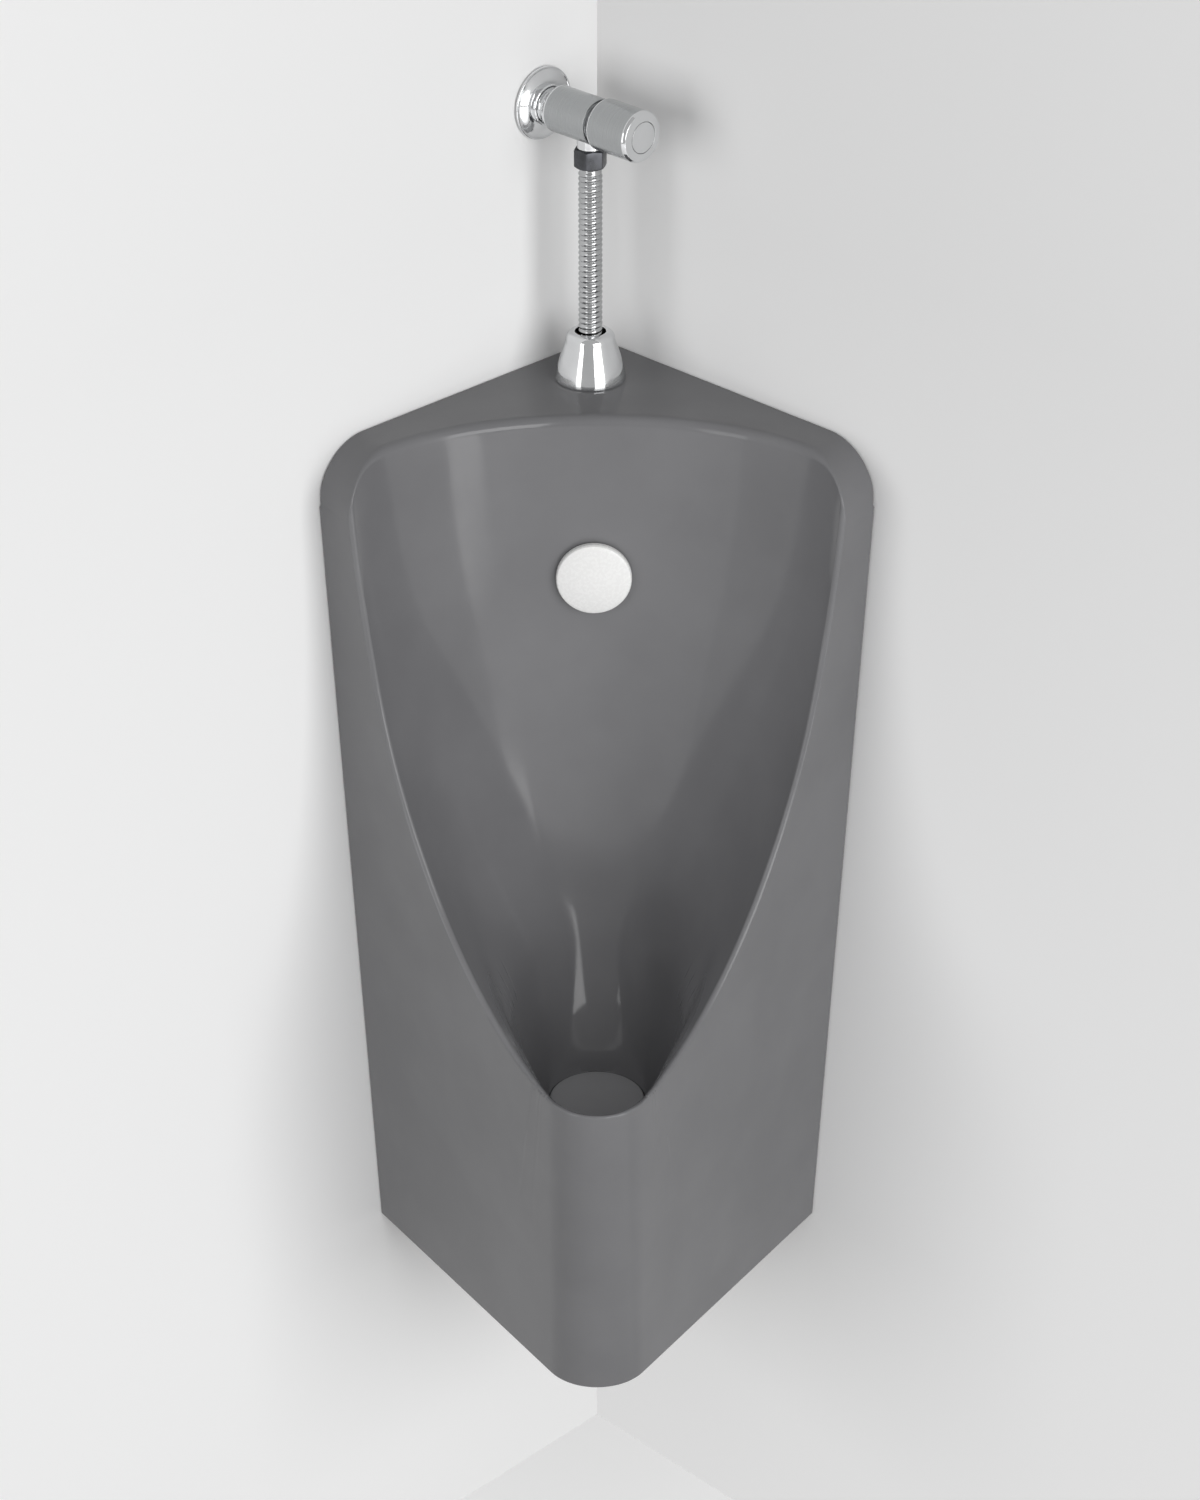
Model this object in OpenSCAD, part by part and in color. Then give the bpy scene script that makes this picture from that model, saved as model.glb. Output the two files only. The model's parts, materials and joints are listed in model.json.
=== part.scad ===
// Corner urinal with a push-button flush valve.
// Frame: the two room walls are the planes y = -|x|, the room's corner line is x = y = 0,
// the room is towards -y, and z = 0 is the underside of the ceramic body.

/* [Ceramic body] */
// Height of the shelf above the underside
body_h = 755; // [740:5:790]
// Distance of a panel's foot from the mirror plane, where it meets the wall at the underside
foot_w = 190; // [186:1:200]
// Growth of that distance for each millimetre of height
panel_flare = 0.042; // [0.038:0.001:0.046]
// Angle of each panel in plan, from the width axis
panel_angle = 56.2; // [55.5:0.1:57]
// Radius of the nose between the two panels
nose_r = 46; // [42:1:50]
// Radius between the shelf and each panel
shoulder_r = 48; // [44:1:54]
// Thickness of the ceramic in panels, webs and bowl
wall = 12; // [10:0.5:13]
// Thickness of the shelf
shelf_t = 14; // [12:1:18]
// Width of the flat that clears the room's corner
corner_flat = 14; // [8:1:20]

/* [Rim] */
// Height of the lip above the underside
lip_h = 290; // [282:1:296]
// Distance of the wings' front edges from the corner line
wing_y = 255; // [252:1:258]
// Distance below the shelf at which the rim starts to curve forward
rim_under_shelf = 39; // [30:1:55]
// How full the rim's side curve is, 2 for an ellipse
rim_power = 2.2; // [2.05:0.05:2.35]
// Thickness of the ceramic at the rim
rim_t = 4.5; // [4:0.5:6]

/* [Bowl] */
// Distance of the waste's centre from the corner line
waste_y = 311; // [308:1:315]
// Height of the bowl's floor above the underside
floor_h = 204; // [200:1:208]
// Distance of the bowl's back from the corner line
bowl_back_y = 160; // [157:1:163]
// How full the bowl's front is in plan, 2 for an ellipse
front_power = 2.4; // [2.2:0.05:2.6]
// Growth of the sump's half width for each millimetre of height
sump_flare = 0.2; // [0.15:0.01:0.24]
// Distance below the shelf at which the back starts to curve in
curve_under_shelf = 155; // [150:5:170]
// Distance above the lip at which the front starts to curve in
front_curve_over_lip = 110; // [100:5:120]
// Radius between the shelf and the bowl
shelf_edge_r = 8; // [5:1:11]

/* [Wall fixing] */
// Distance of each hanger from the corner line, along its wall
hanger_s = 165; // [150:1:175]
// Distance of the ceramic edge that hangs on each hanger below the shelf
hanger_under_shelf = 100; // [90:5:115]
// Width of a hanger
hanger_w = 44; // [38:1:50]
// Height of a hanger's plate
hanger_plate_h = 40; // [36:1:44]
// Thickness of a hanger's steel
hanger_t = 3; // [2.5:0.5:3.5]
// Radius of the bolt holes in a hanger
hanger_hole_r = 3.5; // [3:0.25:4]
// Height of a hanger's upturned lip
hook_up = 12; // [10:1:15]
// Distance of each lower screw from the corner line, along its wall
screw_s = 110; // [95:1:125]
// Height of the lower screws
screw_h = 70; // [60:1:85]
// Radius of a lower screw's shank
screw_r = 3; // [2.75:0.25:3.25]
// Length of a lower screw inside the wall
screw_in_wall = 45; // [35:1:55]

/* [Flush valve] */
// Distance of the valve's axis from the corner line, along the left wall
valve_s = 61.5; // [58:0.5:65]
// Height of the valve's axis above the shelf
valve_over_shelf = 222; // [212:1:240]
// Distance of the outlet from the wall
outlet_w = 54; // [53:0.5:55]
// Distance of the button's rim from the wall
button_end_w = 112; // [111:0.5:116]
// Radius of the valve's barrel
barrel_r = 19; // [18.5:0.25:20]
// Radius of the button
button_r = 21; // [20.5:0.25:22.5]
// Travel of the button
press_travel = 5; // [3:0.5:5]
// Radius of the wall flange
flange_r = 30; // [27:0.5:34]
// Depth of the wall flange
flange_d = 9; // [7:0.5:10]
// Radius of the G 1/2 threads
half_inch_r = 10.48; // [10.4:0.02:10.6]
// Length of the inlet nipple inside the wall
nipple_in_wall = 18; // [12:1:25]

/* [Supply hose] */
// Width of the hose nuts across their flats
nut_af = 23.6; // [23.2:0.1:25]
// Height of the hose nuts
nut_h = 16; // [15:0.5:17]
// Outer radius of the corrugated hose
hose_r = 9.75; // [9.3:0.05:10]
// Depth of the hose's corrugations
rib_depth = 1.3; // [0.8:0.1:1.6]
// Spacing of the hose's corrugations
rib_pitch = 4.5; // [3.8:0.1:6]
// Thickness of the hose's wall
hose_wall = 0.6; // [0.4:0.05:0.8]
// Radius of the bell cover at the shelf
bell_r = 29; // [27:0.5:31]
// Height of the bell cover
bell_h = 42; // [40:0.5:46]
// Radius of the hole in the shelf for the supply
inlet_hole_r = 15; // [14:0.25:16]

/* [Spreader] */
// Distance of the spreader's centre below the shelf
spreader_under_shelf = 141; // [130:1:149]
// Place of the spreader's centre along the width
spreader_x = -2.5; // [-5:0.5:3]
// Radius of the spreader's cap
spreader_r = 31; // [27:0.5:34]
// Depth of the cap, without its crown
spreader_d = 6; // [5:0.5:8]
// Height of the cap's crown
spreader_crown = 4; // [2:0.5:6]
// Radius of the water bore behind the spreader
spreader_bore_r = 11; // [10.5:0.25:12]

/* [Waste and trap] */
// Radius of the cover disc over the waste
cover_r = 38; // [36:0.5:40]
// Depth of the recess that holds the cover disc
recess_d = 10; // [9:0.5:12]
// Radius of the G 1 1/4 thread of the waste
waste_r = 20.9; // [20.5:0.1:21.2]
// Height of the trap's outlet
trap_out_h = 92; // [90:1:95]
// Outer radius of the waste pipe
pipe_r = 16; // [15.5:0.25:16.5]
// Length of the waste pipe inside the wall
pipe_in_wall = 30; // [20:1:40]
// Outer radius of the trap's housing
trap_r = 30; // [29:0.5:32]

/* [Hidden] */
$fn = 64;

// Room for a turned or lifted piece beside its neighbour
run_gap = 0.3;
// Room of a shaft in its bore
shaft_gap = 0.05;
// Length by which a cutting solid passes the face that it cuts
over = 1;

// Plan geometry of the body
lean = atan(panel_flare * (1 + tan(panel_angle)));
nose_hold = nose_r / cos(panel_angle);
rim_reach = nose_y(lip_h) + 12;

// Heights that keep their distance from the shelf
rim_top_h = body_h - rim_under_shelf;
bowl_curve_h = body_h - curve_under_shelf;
hanger_h = body_h - hanger_under_shelf;
spreader_h = body_h - spreader_under_shelf;

// Places that several pieces share
root2 = sqrt(2);
supply_x = (outlet_w - valve_s) / root2;
supply_y = (outlet_w + valve_s) / root2;
valve_h = body_h + valve_over_shelf;
waste_s = waste_y / root2;

// Distance of a panel's foot from the mirror plane at height z
function foot_at(z) = foot_w + panel_flare * z;
// Distance of the nose circle's centre and of the nose itself from the corner line, in plan
function nose_centre_y(z, r = nose_hold) = foot_at(z) * (1 + tan(panel_angle)) - r;
function nose_y(z) = nose_centre_y(z) + nose_r;
function within(v, low, high) = min(max(v, low), high);
// Falls from 1 to 0 as u goes from 0 to 1, first slowly and then steeply
function ease(u, power) = pow(1 - pow(within(u, 0, 1), power), 1 / power);
function arc(x, y, r, from, to, steps) =
    [for (i = [0:steps]) let (a = from + (to - from) * i / steps) [x + r * cos(a), y + r * sin(a)]];

// Body outline

// The walls' corner, with the flat that clears the room's corner
module wall_wedge(inset) {
    reach = 2 * foot_at(body_h);
    flat = corner_flat / 2;
    back = inset * root2;
    low = inset > 0 ? -over : 0;
    translate([0, 0, low])
        linear_extrude(top_at(inset) - low)
            polygon([[-flat, -flat - back], [flat, -flat - back], [reach, -reach - back],
                     [0, -2 * reach - back], [-reach, -reach - back]]);
}
function top_at(inset) = body_h - (inset > 0 ? shelf_t : 0);

// Both panels and the nose, as one prism that leans forward along the nose
module nose_prism(inset) {
    tip = foot_at(0) * (1 + tan(panel_angle)) - inset / cos(panel_angle);
    r = nose_r - inset;
    centre = -(tip - r / cos(panel_angle)) * cos(lean);
    side = 2 * foot_at(body_h);
    back = (side * tan(panel_angle) - tip) * cos(lean);
    rotate([lean, 0, 0])
        translate([0, 0, -body_h / 4])
            linear_extrude(body_h * 1.5)
                polygon(concat(arc(0, centre, r, panel_angle - 90, -90 - panel_angle, 28),
                               [[-side, back], [side, back]]));
}

// Keeps what lies under one shoulder's rounding
module shoulder_prism(inset) {
    lean_m = panel_flare * (sin(panel_angle) + cos(panel_angle));
    tilt = atan(lean_m);
    r = shoulder_r - inset;
    top = top_at(inset);
    side_at_0 = foot_w * (sin(panel_angle) + cos(panel_angle)) - inset;
    centre_z = top - r;
    centre_m = side_at_0 + lean_m * centre_z - r / cos(tilt) - 0.05;
    start = -2 * over;
    rotate([90, 0, panel_angle - 90])
        translate([0, 0, -body_h / 2])
            linear_extrude(body_h * 2)
                polygon(concat([[-body_h, top], [-body_h, -3 * wall],
                                [centre_m + r + centre_z * tan(2), -3 * wall]],
                               arc(centre_m, centre_z, r, start, 90, 14)));
}

module body_outline(inset = 0) {
    intersection() {
        wall_wedge(inset);
        nose_prism(inset);
        shoulder_prism(inset);
        mirror([1, 0, 0]) shoulder_prism(inset);
    }
}

// Bowl surface, as distances from the waste's axis in the direction a, where a = 0 looks at the
// corner line and a = 180 at the nose

recess_r = cover_r + 2;
function depth_at(z, top) = (top - z) / (top - floor_h);
function back_r(z) =
    recess_r + (waste_y - bowl_back_y - recess_r) * ease(depth_at(z, bowl_curve_h), 2.4);
function front_ease(z) = ease(depth_at(z, lip_h + front_curve_over_lip), 1.6);
function front_r(z) =
    recess_r + (nose_y(lip_h) - rim_t - waste_y - recess_r) * front_ease(z) / front_ease(lip_h);

// The rim's side curve, and the half width of the bowl there, rim_t inside the panel
function rim_y(z) =
    rim_reach - (rim_reach - wing_y) * ease((rim_top_h - z) / (rim_top_h - lip_h), rim_power);
function mouth_x(z) =
    (foot_at(z) * (sin(panel_angle) + cos(panel_angle)) - rim_t - rim_y(z) * cos(panel_angle))
    / sin(panel_angle);
// Half width beside the waste, such that each level's oval passes through the mouth, with a narrow
// sump below the lip
function side_r(z) =
    let (ahead = rim_y(z) - waste_y,
         u = min(abs(ahead) / (ahead > 0 ? front_r(z) : back_r(z)), 0.93),
         wide = max(mouth_x(z), 1) / ease(u, ahead > 0 ? front_power : 2),
         narrow = recess_r + (z - floor_h) * sump_flare, p = 16)
    pow(pow(wide, p) + pow(narrow, p), 1 / p);
function shelf_edge(z) =
    let (u = within(z - body_h + shelf_edge_r, 0, shelf_edge_r))
    shelf_edge_r - sqrt(shelf_edge_r * shelf_edge_r - u * u);
function bowl_r(a, z) =
    let (q = a < 90 ? 2 : front_power, long = a < 90 ? back_r(z) : front_r(z))
    pow(pow(abs(sin(a)) / side_r(z), q) + pow(abs(cos(a)) / long, q), -1 / q) + shelf_edge(z);

// Solid inside of the bowl, grown outwards by grow, from the floor to above the shelf
module bowl_form(grow, around, levels) {
    half = around / 2;
    angles = [for (i = [0:around - 1]) i * 360 / around];
    top_part = [body_h - shelf_edge_r, body_h - shelf_edge_r * 0.6, body_h - shelf_edge_r * 0.3,
                body_h - shelf_edge_r * 0.1, body_h, body_h + 2 * wall];
    z_list = concat([for (i = [0:levels])
                     floor_h + (body_h - shelf_edge_r - 2 - floor_h) * pow(i / levels, 1.6)],
                    top_part);
    drop = [for (z = z_list) grow * within((lip_h - z) / (lip_h - floor_h), 0, 1)];
    rows = len(z_list);
    points = concat(
        [for (k = [0:rows - 1]) for (a = angles)
            let (b = a > 180 ? 360 - a : a, r = bowl_r(b, z_list[k]) + grow)
            [r * sin(a), r * cos(a) - waste_y, z_list[k] - drop[k]]],
        [[0, -waste_y, z_list[0] - drop[0]], [0, -waste_y, z_list[rows - 1]]]);
    low = rows * around;
    faces = concat(
        [for (k = [0:rows - 2]) for (i = [0:around - 1])
            let (j = (i + 1) % around) [k * around + i, (k + 1) * around + j, (k + 1) * around + i]],
        [for (k = [0:rows - 2]) for (i = [0:around - 1])
            let (j = (i + 1) % around) [k * around + i, k * around + j, (k + 1) * around + j]],
        [for (i = [0:around - 1]) [low, (i + 1) % around, i]],
        [for (i = [0:around - 1])
            [low + 1, (rows - 1) * around + i, (rows - 1) * around + (i + 1) % around]]);
    polyhedron(points, faces);
}

// Everything in front of the rim's side curve
module front_cut() {
    steps = 30;
    curve = [for (i = [0:steps]) let (a = 90 * i / steps)
        [-rim_reach + (rim_reach - wing_y) * pow(cos(a), 2 / rim_power),
         rim_top_h - (rim_top_h - lip_h) * pow(sin(a), 2 / rim_power)]];
    reach = 2 * foot_at(body_h);
    rotate([90, 0, 90])
        translate([0, 0, -reach])
            linear_extrude(2 * reach)
                polygon(concat([[-wing_y, body_h + 2 * wall]], curve,
                               [[-2 * reach, lip_h], [-2 * reach, body_h + 2 * wall]]));
}

// Common solids

module ring(outer, inner, from, to) {
    translate([0, 0, from])
        difference() {
            cylinder(h = to - from, r = outer);
            translate([0, 0, -over]) cylinder(h = to - from + 2 * over, r = inner);
        }
}

module hex_nut(af, from, to) {
    h = to - from;
    face_r = af * 0.48;
    far_r = af / sqrt(3) + 0.5;
    bevel = (far_r - face_r) * tan(30);
    translate([0, 0, from])
        intersection() {
            rotate([0, 0, 15]) cylinder(h = h, r = af / sqrt(3), $fn = 6);
            rotate_extrude()
                polygon([[0, 0], [face_r, 0], [far_r, bevel], [far_r, h - bevel], [face_r, h], [0, h]]);
        }
}

// Places pieces on the left wall: local x points to the corner, y up and z into the room
module on_left_wall(s, h) {
    translate([-s / root2, -s / root2, h]) rotate([90, 0, 45]) children();
}
module on_right_wall(s, h) {
    mirror([1, 0, 0]) on_left_wall(s, h) children();
}
module on_valve() {
    on_left_wall(valve_s, valve_h) children();
}
module at_supply(z = 0) {
    translate([supply_x, -supply_y, z]) children();
}
module at_waste(z = 0) {
    translate([0, -waste_y, z]) children();
}
// The spreader's axis: local z points out of the bowl's back, towards the nose
module at_spreader() {
    translate([spreader_x, -bowl_back_y, spreader_h]) rotate([90, 0, 0]) children();
}

// Ceramic body

window_w = hanger_w + 6;
window_h = hanger_plate_h + hook_up + 4;
window_r = 6;
boss_t = 14;
under_h = floor_h - recess_d - boss_t;
seat_hole_r = waste_r + 1.6;
duct_wall = 10;

// Solid ceramic round the water bores, and the flat seat under the waste
module duct_and_seat() {
    at_supply(spreader_h - spreader_bore_r - duct_wall)
        cylinder(h = body_h, r = inlet_hole_r + duct_wall);
    translate([0, -supply_y, 0])
        translate([spreader_x, 0, spreader_h]) rotate([90, 0, 0])
            cylinder(h = bowl_back_y - supply_y + wall, r = spreader_bore_r + duct_wall);
    at_waste(under_h) cylinder(h = boss_t + recess_d, r = recess_r + 4);
}

module water_bores() {
    at_supply(spreader_h - spreader_bore_r) cylinder(h = body_h, r = inlet_hole_r);
    translate([spreader_x, -supply_y, spreader_h]) rotate([90, 0, 0])
        cylinder(h = bowl_back_y - supply_y + wall, r = spreader_bore_r);
}

// Window for the hanger, with rounded lower corners
module hanger_window() {
    half = window_w / 2;
    translate([0, 0, -wall])
        linear_extrude(3 * wall)
            polygon(concat([[-half, 0]], arc(window_r - half, window_r - window_h, window_r, 180, 270, 6),
                           arc(half - window_r, window_r - window_h, window_r, 270, 360, 6), [[half, 0]]));
}

module pipe_notch() {
    half = pipe_r + 9;
    translate([0, 0, -wall]) cylinder(h = 3 * wall, r = half);
    translate([-half, -body_h, -wall]) cube([2 * half, body_h, 3 * wall]);
}

module urinal_body() {
    color("dimgray")
        difference() {
            body_outline();
            difference() {
                body_outline(wall);
                bowl_form(wall, 40, 14);
                duct_and_seat();
            }
            bowl_form(0, 72, 30);
            front_cut();
            at_waste(floor_h - recess_d) cylinder(h = recess_d + over, r = recess_r);
            at_waste(0) cylinder(h = floor_h, r = seat_hole_r);
            water_bores();
            on_left_wall(hanger_s, hanger_h) hanger_window();
            on_right_wall(hanger_s, hanger_h) hanger_window();
            on_left_wall(waste_s, trap_out_h) pipe_notch();
            on_right_wall(waste_s, trap_out_h) pipe_notch();
            on_left_wall(screw_s, screw_h) lower_hole();
            on_right_wall(screw_s, screw_h) lower_hole();
        }
}

module lower_hole() {
    translate([0, 0, -wall]) cylinder(h = 3 * wall, r = plug_r + 0.5);
}

// Hangers and lower screws

hook_gap = wall + 1.5;
bend_r = 2;
bolt_x = hanger_w / 4;
bolt_y = -hanger_plate_h / 2 - 3;

// Bent steel strip: plate on the wall, ledge under the ceramic's edge and upturned lip behind it
module hanger() {
    out = hook_gap + hanger_t;
    profile = concat([[0, 0], [0, -hanger_plate_h], [hanger_t, -hanger_plate_h]],
                     arc(hanger_t + bend_r, -hanger_t - bend_r, bend_r, 180, 90, 4),
                     arc(out - bend_r, bend_r - hanger_t, bend_r, -90, 0, 4),
                     [[out, hook_up], [hook_gap, hook_up], [hook_gap, 0]]);
    difference() {
        translate([-hanger_w / 2, 0, 0])
            rotate([0, 90, 0]) linear_extrude(hanger_w) polygon([for (q = profile) [-q[0], q[1]]]);
        for (x = [-bolt_x, bolt_x])
            translate([x, bolt_y, -over]) cylinder(h = hanger_t + 2 * over, r = hanger_hole_r);
    }
}

module left_hanger() {
    color("silver") on_left_wall(hanger_s, hanger_h) hanger();
}
module right_hanger() {
    color("silver") on_right_wall(hanger_s, hanger_h) hanger();
}

washer_t = 2;
head_h = 4;
plug_r = screw_r + 2;
module lower_screw() {
    translate([0, 0, -screw_in_wall]) cylinder(h = screw_in_wall + wall + washer_t, r = screw_r);
    hex_head = wall + washer_t;
    hex_nut(10, hex_head, hex_head + head_h);
}
module lower_screws() {
    color("silver") {
        on_left_wall(screw_s, screw_h) lower_screw();
        on_right_wall(screw_s, screw_h) lower_screw();
    }
}
module screw_washers() {
    color("white") {
        on_left_wall(screw_s, screw_h) ring(3 * screw_r, screw_r + shaft_gap, wall, wall + washer_t);
        on_right_wall(screw_s, screw_h) ring(3 * screw_r, screw_r + shaft_gap, wall, wall + washer_t);
    }
}
module wall_plug() {
    depth = screw_in_wall + 3;
    difference() {
        rotate_extrude()
            polygon(concat([[0, 0], [plug_r, 0]],
                           [for (i = [1:4]) for (s = [0, 1])
                               [plug_r - 0.5 * s, -depth * (i - 0.4 + 0.4 * s) / 4.2]],
                           [[screw_r, -depth], [0, -depth]]));
        translate([0, 0, -screw_in_wall]) cylinder(h = screw_in_wall + over, r = screw_r + shaft_gap);
    }
}
module wall_plugs() {
    color("lightgray") {
        on_left_wall(screw_s, screw_h) wall_plug();
        on_right_wall(screw_s, screw_h) wall_plug();
    }
}

// Flush valve, along its axis from the wall

neck_r = 15;
neck_from = 3;
shoulder_w = 21;
groove_w = outlet_w + half_inch_r;
button_from = groove_w + press_travel + 0.6;
front_neck_r = 16;
front_neck_to = button_from + 10;
chamber_r = 12.5;
seat_from = 34;
seat_to = 37;
seat_r = 7;
bonnet_bore_r = 13;
bonnet_from = groove_w + 2;
gasket_t = 1.5;
bonnet_flange_t = 4;
bonnet_to = front_neck_to + gasket_t + bonnet_flange_t;
nipple_end = 13;
nipple_r = half_inch_r - 0.25;
stem_r = 4;
stem_thread_r = 3;
disc_from = 25;
disc_to = 30.5;
nut_top_y = barrel_r + 4.5;
nut_lip = 3;
flare_t = 1.6;
washer_h = 1.8;
boss_end = nut_top_y + nut_h - nut_lip - flare_t - washer_h;

module inlet_nipple() {
    color("goldenrod")
        on_valve()
            rotate_extrude()
                polygon([[7.5, -nipple_in_wall], [half_inch_r - 0.6, -nipple_in_wall],
                         [half_inch_r, 0.6 - nipple_in_wall], [half_inch_r, 0], [nipple_r, 0],
                         [nipple_r, nipple_end], [7.5, nipple_end]]);
}

// Dished flange with a rolled rim and a short collar round the valve's neck
module wall_flange() {
    t = 1.2;
    in_r = neck_r + run_gap;
    collar = in_r + 1.6;
    rise = flange_d - 5;
    dome = [for (i = [0:8]) let (u = i / 8)
        [flange_r - 1.6 - (flange_r - 1.6 - collar) * u, 1.6 + rise * sin(90 * pow(u, 1.3))]];
    color("silver")
        on_valve()
            rotate_extrude()
                polygon(concat([[flange_r - t, 0], [flange_r, 0], [flange_r, 1.1]],
                               arc(flange_r - 0.8, 1.1, 0.8, 15, 90, 4), dome,
                               [[collar, flange_d - 0.6], [collar - 0.6, flange_d], [in_r, flange_d],
                                [in_r, 1.6 + rise - t]],
                               [for (i = [8:-1:0]) [dome[i][0] - (i == 0 ? t * 0.6 : 0), dome[i][1] - t]]));
}

module valve_body() {
    color("silver")
        on_valve()
            difference() {
                union() {
                    rotate_extrude()
                        polygon(concat([[0, neck_from], [neck_r, neck_from], [neck_r, shoulder_w - 6]],
                                       arc(barrel_r - 4, shoulder_w, 4, -70, 0, 6),
                                       [[barrel_r, groove_w - 0.8], [barrel_r - 0.8, groove_w],
                                        [front_neck_r, groove_w], [front_neck_r, front_neck_to],
                                        [0, front_neck_to]]));
                    // outlet collar and its threaded end
                    translate([0, 0, outlet_w]) rotate([90, 0, 0]) {
                        translate([0, 0, chamber_r + 2]) cylinder(h = nut_top_y - chamber_r - 2.6, r = half_inch_r);
                        cylinder(h = boss_end, r = half_inch_r - 0.08);
                    }
                }
                translate([0, 0, neck_from - over])
                    cylinder(h = nipple_end - neck_from + over + 2.5, r = nipple_r + shaft_gap);
                translate([0, 0, nipple_end + 2]) cylinder(h = seat_from - nipple_end - 2, r = chamber_r);
                translate([0, 0, seat_from - over]) cylinder(h = seat_to - seat_from + 2 * over, r = seat_r);
                translate([0, 0, seat_to]) cylinder(h = bonnet_from - seat_to + over, r = chamber_r);
                translate([0, 0, bonnet_from])
                    cylinder(h = front_neck_to - bonnet_from + over, r = bonnet_bore_r);
                translate([0, 0, outlet_w]) rotate([90, 0, 0]) cylinder(h = boss_end + over, r = 6);
            }
}

groove_from = bonnet_from + 6;
module valve_bonnet() {
    color("goldenrod")
        on_valve()
            rotate_extrude()
                polygon([[stem_r + shaft_gap, bonnet_from + 0.2], [bonnet_bore_r - shaft_gap, bonnet_from + 0.2],
                         [bonnet_bore_r - shaft_gap, front_neck_to + gasket_t],
                         [front_neck_r - 0.2, front_neck_to + gasket_t],
                         [front_neck_r - 0.2, bonnet_to - 1], [front_neck_r - 1.2, bonnet_to],
                         [stem_r + shaft_gap, bonnet_to], [stem_r + shaft_gap, groove_from + 2.4],
                         [stem_r + 2.2, groove_from + 2.4], [stem_r + 2.2, groove_from],
                         [stem_r + shaft_gap, groove_from]]);
}
module bonnet_gasket() {
    color("black")
        on_valve() ring(front_neck_r - 0.2, bonnet_bore_r, front_neck_to, front_neck_to + gasket_t);
}
module stem_o_ring() {
    color("black")
        on_valve()
            translate([0, 0, groove_from + 1.2])
                rotate_extrude() translate([stem_r + 1.1, 0]) circle(r = 1.02);
}

button_wall = 3;
cap_r = 12.5;
end_wall = 6;
socket_from = button_end_w - end_wall - 5;
module push_button() {
    in_r = button_r - button_wall;
    end_in = button_end_w - end_wall;
    color("silver")
        on_valve()
            rotate_extrude()
                polygon(concat([[in_r, button_from + 0.8], [in_r + 0.8, button_from], [button_r - 0.6, button_from],
                                [button_r, button_from + 0.6]],
                               arc(button_r - 2.5, button_end_w - 2.5, 2.5, 0, 70, 6),
                               [[cap_r + 3, button_end_w + 0.6], [cap_r + run_gap, button_end_w + 0.8],
                                [cap_r + run_gap, button_end_w - 2], [0, button_end_w - 2],
                                [0, button_end_w - 3], [stem_r + shaft_gap, button_end_w - 3],
                                [stem_r + shaft_gap, socket_from], [stem_r + 2.5, socket_from],
                                [stem_r + 2.5, end_in], [in_r, end_in]]));
}
module button_disc() {
    color("silver")
        on_valve()
            rotate_extrude()
                polygon(concat([[0, button_end_w - 2], [cap_r, button_end_w - 2], [cap_r, button_end_w + 0.6]],
                               [for (i = [1:6]) let (u = 1 - i / 6)
                                   [cap_r * u, button_end_w + 0.9 + 1.1 * (1 - u * u)]]));
}
module valve_stem() {
    color("goldenrod")
        on_valve() {
            translate([0, 0, disc_from - 7]) cylinder(h = 7 + disc_to - disc_from - 1, r = stem_thread_r);
            translate([0, 0, disc_to - 1]) cylinder(h = button_end_w - 3 - disc_to + 1, r = stem_r);
        }
}
module valve_disc() {
    color("goldenrod")
        on_valve()
            rotate_extrude()
                polygon([[stem_thread_r + shaft_gap, disc_from], [8, disc_from], [11, disc_from + 2],
                         [11, disc_to + 1.5], [10.2, disc_to + 1.5], [10.2, disc_to],
                         [stem_r + shaft_gap, disc_to], [stem_r + shaft_gap, disc_to - 1],
                         [stem_thread_r + shaft_gap, disc_to - 1]]);
}
module seat_washer() {
    color("black") on_valve() ring(10.1, stem_r + shaft_gap, disc_to, seat_from - 0.2);
}
module disc_nut() {
    color("goldenrod")
        on_valve()
            difference() {
                hex_nut(9, disc_from - 4.5, disc_from);
                cylinder(h = disc_from + over, r = stem_thread_r + shaft_gap);
            }
}

// A coil of round wire from z0 to z1, as one unbroken tube
module coil(mean_r, wire_r, z0, z1, turns, per_turn, sides) {
    n = turns * per_turn;
    rise = (z1 - z0 - 2 * wire_r) / n;
    points = [for (i = [0:n]) let (a = 360 * i / per_turn, z = z0 + wire_r + rise * i)
              for (k = [0:sides - 1]) let (b = 360 * k / sides, r = mean_r + wire_r * cos(b))
              [r * cos(a), r * sin(a), z + wire_r * sin(b)]];
    faces = concat(
        [for (i = [0:n - 1]) for (k = [0:sides - 1]) let (m = (k + 1) % sides)
            [i * sides + k, i * sides + m, (i + 1) * sides + m]],
        [for (i = [0:n - 1]) for (k = [0:sides - 1]) let (m = (k + 1) % sides)
            [i * sides + k, (i + 1) * sides + m, (i + 1) * sides + k]],
        [for (k = [1:sides - 2]) [0, k + 1, k]],
        [for (k = [1:sides - 2]) [n * sides, n * sides + k, n * sides + k + 1]]);
    polyhedron(points, faces);
}
spring_from = bonnet_to + 0.1;
spring_to = button_end_w - end_wall - 0.1;
module return_spring() {
    color("darkgray") on_valve() coil(9.5, 0.8, spring_from, spring_to, 5, 18, 6);
}

// Supply: hose, its nuts and the bell cover

upper_end = valve_h - boss_end;
upper_nut_top = valve_h - nut_top_y;
upper_nut_low = upper_nut_top - nut_h;
hose_top = upper_end - washer_h;
spigot_top = body_h + 21;
hose_low = spigot_top + washer_h;
lower_nut_low = hose_low + flare_t + nut_lip - nut_h;
hose_core_r = hose_r - rib_depth;

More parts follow.
